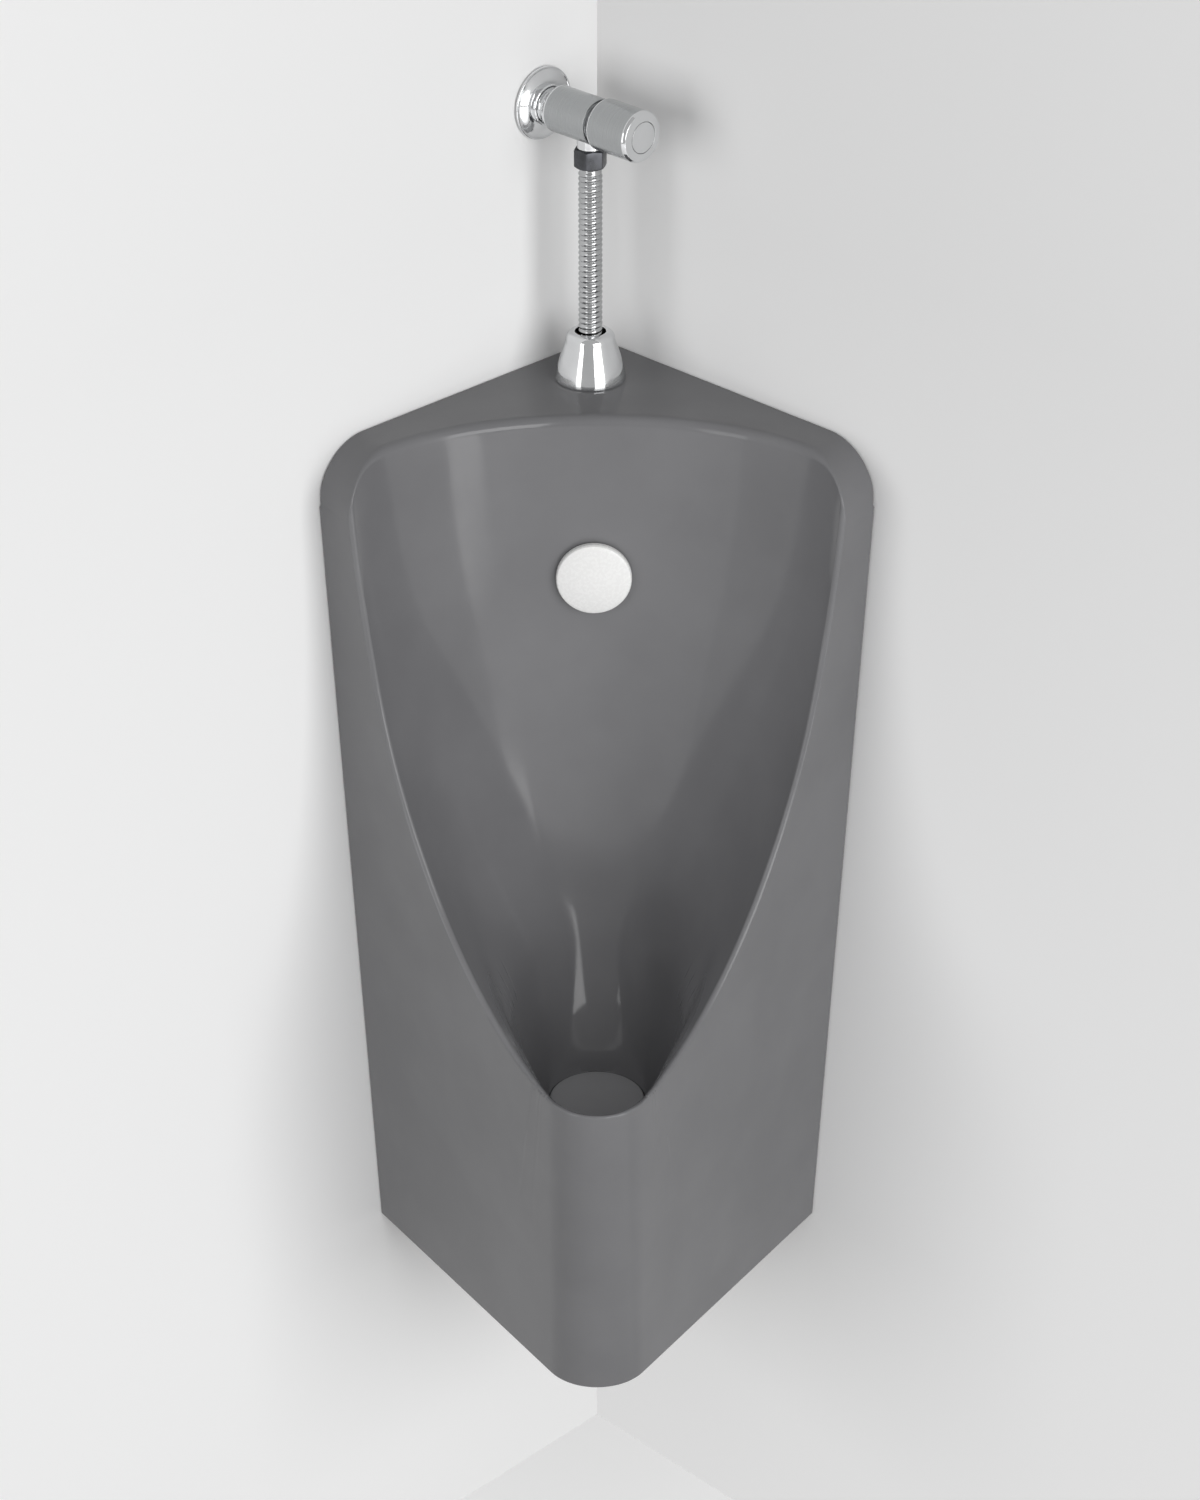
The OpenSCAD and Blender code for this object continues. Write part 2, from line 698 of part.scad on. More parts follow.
module hose_nut(low, lip_on_top) {
    difference() {
        hex_nut(nut_af, low, low + nut_h);
        translate([0, 0, low - over]) cylinder(h = nut_h + 2 * over, r = hose_core_r + 0.3);
        translate([0, 0, lip_on_top ? low - over : low + nut_lip])
            cylinder(h = nut_h - nut_lip + over, r = half_inch_r + shaft_gap);
    }
}
module upper_hose_nut() {
    color("gray") at_supply() hose_nut(upper_nut_low, false);
}
module lower_hose_nut() {
    color("gray") at_supply() hose_nut(lower_nut_low, true);
}
module upper_hose_washer() {
    color("black") at_supply() ring(half_inch_r - 0.4, 6, hose_top, hose_top + washer_h);
}
module lower_hose_washer() {
    color("black") at_supply() ring(half_inch_r - 0.4, 6.5, spigot_top, spigot_top + washer_h);
}

// One corrugation after another between two plain ends with flared collars
module corrugated_hose() {
    from = lower_nut_low + nut_h + 1;
    to = upper_nut_low - 1;
    ribs = max(1, floor((to - from) / rib_pitch));
    pitch = (to - from) / ribs;
    wave = [for (i = [0:ribs - 1]) for (s = [[0, 0], [0.25, 0.85], [0.5, 1], [0.75, 0.85]])
            [hose_core_r + rib_depth * s[1], from + pitch * (i + s[0])]];
    inner = [for (i = [len(wave) - 1:-1:0]) [wave[i][0] - hose_wall, wave[i][1]]];
    collar_r = half_inch_r - 0.4;
    color("silver")
        at_supply()
            rotate_extrude()
                polygon(concat(
                    [[hose_core_r - hose_wall, hose_low], [collar_r, hose_low],
                     [collar_r, hose_low + flare_t], [hose_core_r, hose_low + flare_t]],
                    wave,
                    [[hose_core_r, to], [hose_core_r, hose_top - flare_t], [collar_r, hose_top - flare_t],
                     [collar_r, hose_top], [hose_core_r - hose_wall, hose_top],
                     [hose_core_r - hose_wall, to]],
                    inner));
}

seal_flange_t = 2.5;
spigot_r = half_inch_r - 0.4;
module inlet_spigot() {
    color("goldenrod")
        at_supply()
            difference() {
                union() {
                    translate([0, 0, body_h - 26]) cylinder(h = spigot_top - body_h + 26, r = spigot_r);
                    translate([0, 0, body_h + seal_flange_t]) cylinder(h = 3, r = inlet_hole_r + 1);
                    translate([0, 0, lower_nut_low]) cylinder(h = spigot_top - lower_nut_low, r = half_inch_r);
                }
                translate([0, 0, body_h - 26 - over])
                    cylinder(h = spigot_top - body_h + 26 + 2 * over, r = 7.5);
            }
}
module inlet_seal() {
    color("black")
        at_supply()
            rotate_extrude()
                polygon([[spigot_r + shaft_gap, body_h + seal_flange_t], [inlet_hole_r + 3.5, body_h + seal_flange_t],
                         [inlet_hole_r + 3.5, body_h], [inlet_hole_r - 0.1, body_h],
                         [inlet_hole_r - 0.1, body_h - 14], [spigot_r + 2.5, body_h - 22],
                         [spigot_r + shaft_gap, body_h - 22]]);
}
module bell_cover() {
    t = 1.2;
    neck = hose_r + 2.9;
    top = body_h + bell_h;
    outer = concat([[bell_r - 0.8, body_h], [bell_r, body_h + 0.9], [bell_r, body_h + 3]],
                   [for (i = [1:8]) let (u = i / 8)
                       [bell_r - (bell_r - neck - 7.5) * pow(u, 1.5), body_h + 3 + (bell_h - 11) * u]],
                   arc(neck + 0.5, top - 7, 7, 10, 90, 8));
    inner = concat(arc(neck + 0.5, top - 7, 7 - t, 90, 10, 8),
                   [for (i = [8:-1:0]) let (u = i / 8)
                       [bell_r - t - (bell_r - neck - 7.5) * pow(u, 1.5), body_h + 3 + (bell_h - 11) * u]],
                   [[bell_r - t, body_h]]);
    color("silver")
        at_supply()
            rotate_extrude()
                polygon(concat(outer, [[neck, top], [neck, top - t]], inner));
}

// Spreader in the bowl's back

stand_off = 2.5;
module spreader_cap() {
    t = 2.4;
    face = stand_off + spreader_d;
    color("white")
        at_spreader()
            difference() {
                rotate_extrude()
                    polygon(concat([[0, stand_off], [spreader_r - 0.6, stand_off], [spreader_r, stand_off + 0.6]],
                                   arc(spreader_r - 3, face - 2, 3, 0, 60, 5),
                                   [for (i = [1:7]) let (u = 1 - i / 7)
                                       [(spreader_r - 2) * u, face + 0.8 + (spreader_crown - 0.8) * (1 - u * u)]]));
                // water chamber, open at the back
                translate([0, 0, stand_off - over]) cylinder(h = spreader_d - t + over, r = spreader_r - t);
            }
}
module spreader_spigot() {
    hub = stand_off + spreader_d - 2.4;
    color("whitesmoke")
        at_spreader()
            difference() {
                union() {
                    translate([0, 0, -24]) cylinder(h = 24 + hub, r = 8);
                    translate([0, 0, 0.5]) cylinder(h = 1.5, r = spreader_bore_r + 2);
                }
                translate([0, 0, -24 - over]) cylinder(h = 24 + over + hub - 2, r = 6);
                // side outlets for the water
                for (a = [0:60:120])
                    rotate([0, 0, a]) translate([0, 0, 3.6]) rotate([90, 0, 0])
                        cylinder(h = 40, r = 1.3, center = true);
            }
}
module spreader_gasket() {
    color("black") at_spreader() ring(spreader_bore_r - 0.1, 8 + shaft_gap, -18, -4);
}

// Waste and trap, on the waste's axis

waste_top = floor_h - recess_d;
gasket_h = 1.5;
waste_flange_t = 2.5;
tail_low = 122;
cover_foot = waste_top + gasket_h + waste_flange_t;

module waste_cover() {
    top = floor_h;
    color("dimgray")
        at_waste() {
            rotate_extrude()
                polygon(concat([[0, top - 3.5], [cover_r - 0.8, top - 3.5], [cover_r, top - 2.7]],
                               arc(cover_r - 1.5, top - 1.5, 1.5, 0, 80, 5),
                               [for (i = [1:6]) let (u = 1 - i / 6) [(cover_r - 2) * u, top + 1.2 * (1 - u * u)]]));
            for (a = [30:120:270])
                rotate([0, 0, a]) translate([cover_r - 10, 0, cover_foot])
                    cylinder(h = top - 3 - cover_foot, r = 3);
        }
}
module waste_fitting() {
    color("silver")
        at_waste()
            difference() {
                union() {
                    translate([0, 0, waste_top + gasket_h]) cylinder(h = waste_flange_t, r = recess_r - 6);
                    translate([0, 0, tail_low]) cylinder(h = waste_top + gasket_h - tail_low, r = waste_r);
                }
                translate([0, 0, tail_low - over])
                    cylinder(h = waste_top - tail_low - 2, r = waste_r - 3.4);
                // strainer holes
                for (r = [0, 6, 12]) for (i = [0:max(0, r - 1)])
                    rotate([0, 0, r > 0 ? 360 * i / r : 0]) translate([r, 0, waste_top - 5])
                        cylinder(h = 20, r = r > 6 ? 2.2 : 2);
            }
}
module waste_upper_gasket() {
    color("black") at_waste() ring(recess_r - 7, waste_r + 0.2, waste_top, waste_top + gasket_h);
}
module waste_lower_gasket() {
    color("black") at_waste() ring(recess_r - 7, waste_r + 0.2, under_h - 2, under_h);
}
module waste_lock_nut() {
    color("gray")
        at_waste()
            difference() {
                hex_nut(56, under_h - 12, under_h - 2);
                cylinder(h = floor_h, r = waste_r + shaft_gap);
            }
}

seal_h = 3;
collar_h = 3;
neck_nut_h = 22;
dip_r = waste_r - 3.4;
module trap_inlet_nut() {
    low = tail_low - seal_h - collar_h - 3;
    color("silver")
        at_waste()
            difference() {
                union() {
                    translate([0, 0, low]) cylinder(h = neck_nut_h, r = waste_r + 5);
                    for (i = [0:11])
                        rotate([0, 0, 30 * i + 15]) translate([waste_r + 4.4, 0, low]) cylinder(h = neck_nut_h - 3, r = 1.6);
                }
                translate([0, 0, low - over]) cylinder(h = neck_nut_h + 2 * over, r = dip_r + 0.3);
                translate([0, 0, low + 3]) cylinder(h = neck_nut_h, r = waste_r + shaft_gap);
            }
}
module trap_inlet_seal() {
    color("black") at_waste() ring(waste_r - 0.1, dip_r - 1.6, tail_low - seal_h, tail_low);
}

house_top = trap_out_h + 21;
house_low = trap_out_h - 36;
dip_low = 42;
branch_to = trap_r + 22;
branch_r = pipe_r + 3;
outlet_seal_h = 3.5;
run_r = pipe_r - 0.3;
module branch_axis() {
    translate([0, -waste_y, trap_out_h]) rotate([90, 0, 45]) mirror([0, 0, 1]) children();
}
module trap_body() {
    collar_top = tail_low - seal_h;
    color("silver")
        difference() {
            union() {
                at_waste() {
                    translate([0, 0, dip_low]) cylinder(h = collar_top - dip_low, r = dip_r);
                    translate([0, 0, collar_top - collar_h]) cylinder(h = collar_h, r = waste_r - 0.1);
                }
                difference() {
                    union() {
                        at_waste()
                            rotate_extrude()
                                polygon(concat([[0, house_low], [trap_r, house_low]],
                                               arc(trap_r - 6, house_top - 12, 6, 0, 80, 5), [[0, house_top - 5]]));
                        branch_axis() cylinder(h = branch_to, r = branch_r);
                    }
                    at_waste(house_low - over) cylinder(h = house_top - house_low - 9 + over, r = trap_r - 3);
                    branch_axis() cylinder(h = branch_to + over, r = pipe_r - 2);
                }
                at_waste(dip_low) cylinder(h = house_top - dip_low - 5, r = dip_r);
            }
            at_waste(dip_low - over) cylinder(h = collar_top - dip_low + 2 * over, r = dip_r - 2);
        }
}
cup_seal_h = 2;
module trap_cup() {
    low = 22;
    top = house_low + 14;
    ledge = house_low - cup_seal_h;
    color("silver")
        at_waste()
            rotate_extrude()
                polygon(concat([[0, low]], arc(trap_r - 6, low + 6, 6, -90, 0, 6),
                               [[trap_r, ledge - 6], [trap_r + 3, ledge - 2], [trap_r + 3, top],
                                [trap_r + shaft_gap, top], [trap_r + shaft_gap, ledge], [trap_r - 3, ledge],
                                [trap_r - 3, low + 7], [trap_r - 7, low + 3], [0, low + 3]]));
}
module trap_cup_seal() {
    color("black") at_waste() ring(trap_r, trap_r - 2.9, house_low - cup_seal_h, house_low);
}
module trap_outlet_nut() {
    from = branch_to - 12;
    color("silver")
        branch_axis()
            difference() {
                union() {
                    translate([0, 0, from]) cylinder(h = 20, r = branch_r + 4);
                    for (i = [0:11])
                        rotate([0, 0, 30 * i + 15]) translate([branch_r + 3.4, 0, from + 1]) cylinder(h = 16, r = 1.6);
                }
                translate([0, 0, from - over]) cylinder(h = 12 + outlet_seal_h + over, r = branch_r + shaft_gap);
                translate([0, 0, from - 2 * over]) cylinder(h = 30, r = pipe_r + 0.2);
            }
}
module trap_outlet_seal() {
    color("black") branch_axis() ring(branch_r - 0.1, run_r + shaft_gap, branch_to, branch_to + outlet_seal_h);
}
module waste_pipe() {
    end = waste_s + pipe_in_wall;
    color("silver")
        branch_axis()
            rotate_extrude()
                polygon([[run_r - 1.6, branch_to], [run_r, branch_to], [run_r, waste_s], [pipe_r, waste_s],
                         [pipe_r, end], [run_r - 1.6, end]]);
}

urinal_body();
left_hanger();
right_hanger();
lower_screws();
screw_washers();
wall_plugs();
inlet_nipple();
wall_flange();
valve_body();
valve_bonnet();
bonnet_gasket();
stem_o_ring();
push_button();
button_disc();
valve_stem();
valve_disc();
seat_washer();
disc_nut();
return_spring();
upper_hose_nut();
upper_hose_washer();
corrugated_hose();
lower_hose_nut();
lower_hose_washer();
inlet_spigot();
inlet_seal();
bell_cover();
spreader_cap();
spreader_spigot();
spreader_gasket();
waste_cover();
waste_fitting();
waste_upper_gasket();
waste_lower_gasket();
waste_lock_nut();
trap_inlet_nut();
trap_inlet_seal();
trap_body();
trap_cup();
trap_cup_seal();
trap_outlet_nut();
trap_outlet_seal();
waste_pipe();
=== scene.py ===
"""Looks of a corner urinal with a push-button flush valve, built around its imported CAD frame.

Row frame, in metres: the two room walls are the planes y = -|x|, the room is towards -y, and z = 0
is the underside of the ceramic body. The pieces below are worked out in millimetres.
"""
import json
import math

import bmesh
import bpy
from mathutils import Matrix, Vector

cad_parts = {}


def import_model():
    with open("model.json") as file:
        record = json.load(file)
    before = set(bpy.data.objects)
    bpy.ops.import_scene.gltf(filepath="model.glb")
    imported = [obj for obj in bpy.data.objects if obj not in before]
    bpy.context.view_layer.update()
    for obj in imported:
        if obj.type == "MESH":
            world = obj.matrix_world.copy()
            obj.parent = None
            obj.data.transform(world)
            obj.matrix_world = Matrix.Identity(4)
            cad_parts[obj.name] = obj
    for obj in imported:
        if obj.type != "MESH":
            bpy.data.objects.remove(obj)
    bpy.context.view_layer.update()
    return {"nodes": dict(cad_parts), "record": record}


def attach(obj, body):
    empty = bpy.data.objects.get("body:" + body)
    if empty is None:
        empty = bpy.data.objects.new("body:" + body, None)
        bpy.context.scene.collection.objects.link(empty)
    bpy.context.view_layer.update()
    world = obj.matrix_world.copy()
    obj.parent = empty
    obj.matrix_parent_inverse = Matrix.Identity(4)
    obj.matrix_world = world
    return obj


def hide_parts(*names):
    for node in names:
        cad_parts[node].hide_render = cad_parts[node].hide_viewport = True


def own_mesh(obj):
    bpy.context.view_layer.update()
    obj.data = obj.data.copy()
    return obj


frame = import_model()
MM = 0.001

# Room: the walls stand this far behind the body's back faces. The floor's level counts from its underside
WALL_GAP = 1.5
FLOOR_Z = -376
ROOM = 2600

# Camera: the photograph's frame is 1200 x 1500, and its sight line meets it at (597, 750)
PHOTO_W = 1200
PHOTO_H = 1500
FOCUS_PX = 4057
SIGHT_X = 597
CAMERA_AT = (0, -3121, 2099)
PITCH_DOWN = 29.1
SENSOR = 36

# Ceramic body. A depth is a distance from the corner line, and a panel's foot is where it meets the wall
SHELF = 755
FOOT = 190
FLARE = 0.042
PANEL_ANGLE = math.radians(56.2)
SIN_P, COS_P, TAN_P = math.sin(PANEL_ANGLE), math.cos(PANEL_ANGLE), math.tan(PANEL_ANGLE)
NOSE_R = 46
SHOULDER_R = 48
CERAMIC = 12
SHELF_T = 14
CORNER_FLAT = 7

# Rim: a side curve from under the shelf, over the wings, to a point ahead of the lip
LIP = 290
WING = 255
RIM_TOP = 716
RIM_POWER = 2.2
RIM_T = 4.5
RIM_AHEAD = 12

# Bowl: its levels are ovals round the waste, fuller in front, that curve in towards the floor
WASTE = 311
BOWL_FLOOR = 204
BOWL_BACK = 160
FRONT_POWER = 2.4
BACK_POWER = 2
LOW_BACK_POWER = 2.5
LOW_BACK = 300
SUMP_FLARE = 0.2
BACK_CURVE = 600
BACK_EASE = 2.4
FRONT_CURVE = 400
FRONT_EASE = 1.6
RECESS_R = 40
RECESS_FLOOR = 194

# Basin: low down, the bowl's back half is drawn out towards a round basin. It begins behind the rim,
# which is this many degrees round the waste at one level, and further forward the lower it is
BASIN_H = 170
BASIN_FLARE = 1
BASIN_SHARE = 0.5
BASIN_TURN = 70
RIM_LEVEL = 350
RIM_TURN = 113
RIM_TURN_PER_MM = 0.86

# Bowl's edge: its radius at the shelf, along the wings and beside the nose
SHELF_EDGE_R = 8
WING_EDGE_R = 2
NOSE_EDGE_R = 1.4

# Panels and shoulders, measured square to a panel: how far they lean out, and the shoulder's centre
LEAN = FLARE * (SIN_P + COS_P)
TILT = math.atan(LEAN)
PANEL_0 = FOOT * (SIN_P + COS_P)
SHOULDER_Z = SHELF - SHOULDER_R
SHOULDER_M = PANEL_0 + LEAN * SHOULDER_Z - SHOULDER_R / math.cos(TILT)


def srgb(hex_colour):
    """A colour written as RRGGBB in sRGB, as linear red, green, blue and alpha."""
    parts = [int(hex_colour[i:i + 2], 16) / 255 for i in (0, 2, 4)]
    return [c / 12.92 if c <= 0.04045 else ((c + 0.055) / 1.055) ** 2.4 for c in parts] + [1]


def add(tree, kind, settings=None, **links):
    """Adds a node. settings holds its properties, and links its inputs: a value or another node's output."""
    node = tree.nodes.new("ShaderNode" + kind)
    for name, value in (settings or {}).items():
        setattr(node, name, value)
    for name, value in links.items():
        socket = node.inputs[int(name[1:])] if name[0] == "_" else node.inputs[name.replace("_", " ")]
        if isinstance(value, bpy.types.NodeSocket):
            tree.links.new(value, socket)
        else:
            socket.default_value = value
    return node


def new_material(name):
    """An empty node material with its output, as (material, tree, output)."""
    made = bpy.data.materials.new(name)
    made.use_nodes = True
    made.node_tree.nodes.clear()
    return made, made.node_tree, add(made.node_tree, "OutputMaterial")


# Bowl and outline


def foot_at(z):
    return FOOT + FLARE * z


def nose_centre(z):
    return foot_at(z) * (1 + TAN_P) - NOSE_R / COS_P


RIM_REACH = nose_centre(LIP) + NOSE_R + RIM_AHEAD


def ease(u, power):
    """Falls from 1 to 0 as u goes from 0 to 1, first slowly and then steeply."""
    return (1 - min(max(u, 0), 1) ** power) ** (1 / power)


def smooth_step(u):
    """Rises from 0 to 1 as u goes from 0 to 1, with a level start and end."""
    u = min(max(u, 0), 1)
    return u * u * (3 - 2 * u)


def back_r(z):
    fall = ease((BACK_CURVE - z) / (BACK_CURVE - BOWL_FLOOR), BACK_EASE)
    return RECESS_R + (WASTE - BOWL_BACK - RECESS_R) * fall


def front_ease(z):
    return ease((FRONT_CURVE - z) / (FRONT_CURVE - BOWL_FLOOR), FRONT_EASE)


def front_r(z):
    at_lip = nose_centre(LIP) + NOSE_R - RIM_T - WASTE - RECESS_R
    return RECESS_R + at_lip * front_ease(z) / front_ease(LIP)


def side_r(z):
    """Half width of the bowl beside the waste: each level's oval meets the rim RIM_T inside the panel."""
    rim_depth = RIM_REACH - (RIM_REACH - WING) * ease((RIM_TOP - z) / (RIM_TOP - LIP), RIM_POWER)
    mouth = (foot_at(z) * (SIN_P + COS_P) - RIM_T - rim_depth * COS_P) / SIN_P
    ahead = rim_depth - WASTE
    # Near its front end an oval is too steep to be fitted by its width
    share = min(abs(ahead) / (front_r(z) if ahead > 0 else back_r(z)), 0.93)
    wide = max(mouth, 1) / ease(share, FRONT_POWER if ahead > 0 else BACK_POWER)
    narrow = RECESS_R + (z - BOWL_FLOOR) * SUMP_FLARE
    # The wider of the two, with a soft change between them
    blend = 16
    return (wide ** blend + narrow ** blend) ** (1 / blend)


def basin_r(z):
    """Half width of the round basin that the bowl's back half runs out into, around the waste."""
    high = BOWL_FLOOR + BASIN_H
    t = (z - BOWL_FLOOR) / BASIN_H
    slope = BASIN_H * (side_r(high) - side_r(high - 2)) / 2
    return (RECESS_R * (1 + 2 * t) * (1 - t) ** 2 + BASIN_H * BASIN_FLARE * t * (1 - t) ** 2
            + side_r(high) * t * t * (3 - 2 * t) + slope * t * t * (t - 1))


def bowl_r(a, z):
    """Distance of the bowl's surface from the waste's axis. a is 0 towards the corner and pi at the nose."""
    side = side_r(z)
    rim_at = min(RIM_TURN + (RIM_LEVEL - z) * RIM_TURN_PER_MM, 180)
    behind = smooth_step((rim_at - math.degrees(a)) / BASIN_TURN)
    if z < BOWL_FLOOR + BASIN_H and behind > 0:
        side += BASIN_SHARE * (basin_r(z) - side) * behind
    if a < math.pi / 2:
        low = smooth_step((BACK_CURVE - z) / (BACK_CURVE - LOW_BACK))
        power = BACK_POWER + (LOW_BACK_POWER - BACK_POWER) * low
        length = back_r(z)
    else:
        power = FRONT_POWER
        length = front_r(z)
    return (abs(math.sin(a) / side) ** power + abs(math.cos(a) / length) ** power) ** (-1 / power)


def on_bowl(a, z, grow=0):
    r = bowl_r(a, z) + grow
    return Vector((r * math.sin(a), r * math.cos(a) - WASTE, z))


def around_waste(p):
    return math.atan2(abs(p.x), p.y + WASTE)


def stretch(a, z):
    """How much longer a level step across the bowl's wall is than a square one."""
    rise = 0.5
    turn = 0.002
    up = (bowl_r(a, z + rise) - bowl_r(a, z - rise)) / (2 * rise)
    around = bowl_r(min(a + turn, math.pi), z) - bowl_r(max(a - turn, 0), z)
    along = around / (2 * turn) / bowl_r(a, z)
    return math.sqrt(1 + up * up + along * along)


def outside(p):
    """Distance of a point outside the shelf, shoulders, panels and nose, less than 0 in the ceramic."""
    x, depth = abs(p.x), -p.y
    across = x * SIN_P + depth * COS_P
    out, up = across - SHOULDER_M, p.z - SHOULDER_Z
    if out > 0 and up > -out * LEAN:
        return math.hypot(out, up) - SHOULDER_R
    ahead = depth - nose_centre(p.z)
    if up < 0 and ahead > 0 and x < ahead * TAN_P:
        return math.hypot(x, ahead) - NOSE_R
    return max(p.z - SHELF, (across - PANEL_0 - LEAN * p.z) * math.cos(TILT))


def ahead_of_rim(p):
    """Distance of a point in front of the rim's side curve, less than 0 behind it."""
    length, height = RIM_REACH - WING, RIM_TOP - LIP
    u, v = max((RIM_REACH + p.y) / length, 0), max((RIM_TOP - p.z) / height, 0)
    h = max((u ** RIM_POWER + v ** RIM_POWER) ** (1 / RIM_POWER), 0.001)
    fall = math.hypot((u / h) ** (RIM_POWER - 1) / length, (v / h) ** (RIM_POWER - 1) / height)
    return (1 - h) / fall


def rounded(a, b, r):
    """Joins two distances so that the edge between their surfaces has the radius r."""
    u, v = max(a + r, 0), max(b + r, 0)
    return math.hypot(u, v) - r if u and v else max(a, b)


def edge_r(a):
    """Radius of the bowl's edge: wide on the shelf, narrow along the wings, narrowest beside the nose."""
    turn = math.degrees(a)
    at_shelf = smooth_step((71 - turn) / 13)
    at_nose = math.exp(-((turn - 165) / 12) ** 2)
    return WING_EDGE_R + (SHELF_EDGE_R - WING_EDGE_R) * at_shelf - (WING_EDGE_R - NOSE_EDGE_R) * at_nose


def crossing(low, high, holds, steps=30):
    """The value between low and high up to which a test holds."""
    for _ in range(steps):
        mid = (low + high) / 2
        if holds(mid):
            low = mid
        else:
            high = mid
    return high


def rounding_centre(a, z):
    """Centre of a rounding of the bowl's edge that touches the bowl at this place."""
    return on_bowl(a, z, edge_r(a) * stretch(a, z))


def rounding_fits(a, z):
    """Whether the edge rounding that touches the bowl here lies inside the outer surface."""
    p = rounding_centre(a, z)
    return max(outside(p), ahead_of_rim(p)) <= -edge_r(a)


# The edge is looked for between these levels, on lines of the bowl that rise by so many mm for each
# degree round the waste
EDGE_LOW = BOWL_FLOOR + 6
EDGE_HIGH = SHELF + 10
RISE = 4


def edge_centre(c):
    """Angle, level and centre of the bowl's edge rounding on the line z = c + RISE * degrees."""
    low, high = max((EDGE_LOW - c) / RISE, 0), min((EDGE_HIGH - c) / RISE, 180)
    turn = crossing(low, high, lambda t: rounding_fits(math.radians(t), c + RISE * t))
    a, z = math.radians(turn), c + RISE * turn
    return a, z, rounding_centre(a, z)


def end_centre(a):
    """The same in the mirror plane."""
    z = crossing(EDGE_LOW, EDGE_HIGH, lambda level: rounding_fits(a, level))
    return a, z, rounding_centre(a, z)


# Faces of the body's skin: along half the edge, across its rounding, outside it and down the bowl
STATIONS = 300
FAN = 14
OUTER_ROWS = 14
BOWL_ROWS = 46
EDGE_STEPS = 900


def edge_stations():
    """Centres of the edge rounding from the mirror plane at the shelf to the lip, evenly apart."""
    first, last = end_centre(0), end_centre(math.pi)
    c_first, c_last = first[1], last[1] - RISE * 180
    c_list = [c_first + (c_last - c_first) * i / EDGE_STEPS for i in range(EDGE_STEPS + 1)]
    points = [first[2]] + [edge_centre(c)[2] for c in c_list[1:-1]] + [last[2]]
    run = [0]
    for p, q in zip(points, points[1:]):
        run.append(run[-1] + (q - p).length)
    found, k = [first], 0
    for j in range(1, STATIONS):
        want = run[-1] * j / STATIONS
        while run[k + 1] < want:
            k += 1
        share = (want - run[k]) / (run[k + 1] - run[k])
        found.append(edge_centre(c_list[k] + (c_list[k + 1] - c_list[k]) * share))
    return found + [last]


def slope_of(distance, p):
    """Direction in which a distance grows fastest."""
    step = 0.05
    ways = (Vector((step, 0, 0)), Vector((0, step, 0)), Vector((0, 0, step)))
    return Vector([distance(p + way) - distance(p - way) for way in ways]).normalized()


def edge_fan(centre, before, after):
    """Section of the edge rounding across its run, from the bowl's surface to the outer surface."""
    a, z, p = centre
    r = edge_r(a)
    run = (after - before).normalized()
    scale = stretch(a, z)

    def in_bowl(q):
        return (bowl_r(around_waste(q), q.z) - math.hypot(q.x, q.y + WASTE)) / scale

    def shape(q):
        outer = rounded(outside(q), ahead_of_rim(q), min(r, WING_EDGE_R))
        return rounded(outer, in_bowl(q), r)

    inward = slope_of(in_bowl, p)
    inward = (inward - inward.dot(run) * run).normalized()
    outward = slope_of(outside, p)
    outward = (outward - outward.dot(run) * run).normalized()
    side = run.cross(inward)
    turn = math.atan2(outward.dot(side), outward.dot(inward))
    if turn > 0:
        turn -= 2 * math.pi
    found = []
    for i in range(FAN + 1):
        angle = turn * i / FAN
        way = math.cos(angle) * inward + math.sin(angle) * side
        reach = crossing(0, 3 * r + 2, lambda d: shape(p + d * way) <= 0, 24)
        found.append(p + reach * way)
    return found


def outer_ends(contacts):
    """For each point where the edge rounding ends, the point of the outer edge that it is joined to."""
    wall_x = SHOULDER_M / (SIN_P + COS_P)
    wall_top = SHOULDER_Z - SHOULDER_R * math.sin(TILT)
    kinds = []
    for p in contacts:
        across = p.x * SIN_P - p.y * COS_P
        ahead = -p.y - nose_centre(p.z)
        if p.z > wall_top:
            kinds.append("shelf" if across < SHOULDER_M else "shoulder")
        else:
            kinds.append("nose" if p.x < ahead * TAN_P else "panel")
    first_panel, first_nose = kinds.index("panel"), kinds.index("nose")
    shelf_start = contacts[1].x
    shelf_end = contacts[kinds.index("shoulder")].x
    foot_corner = Vector((FOOT, -FOOT, 0))
    nose_foot = Vector((NOSE_R * SIN_P, -nose_centre(0) - NOSE_R * COS_P, 0))
    along = (nose_foot - foot_corner).length
    corner = first_panel + round((first_nose - first_panel) * wall_top / (wall_top + along))
    ends = []
    for j, (p, kind) in enumerate(zip(contacts, kinds)):
        if kind == "shelf":
            share = max(p.x - shelf_start, 0) / (shelf_end - shelf_start)
            x = CORNER_FLAT + (wall_x - CORNER_FLAT) * share if j else 0
            ends.append(Vector((x, -max(x, CORNER_FLAT), SHELF)))
        elif kind == "shoulder":
            run = (-p.x - p.y) / (COS_P + SIN_P)
            ends.append(p + run * Vector((COS_P, SIN_P, 0)))
        elif kind == "panel" and j <= corner:
            z = wall_top * (corner - j) / (corner - first_panel)
            ends.append(Vector((foot_at(z), -foot_at(z), z)))
        elif kind == "panel":
            ends.append(foot_corner.lerp(nose_foot, (j - corner) / (first_nose - corner)))
        else:
            ends.append(p + Vector((0, FLARE * (1 + TAN_P), -1)) * p.z)
    return ends


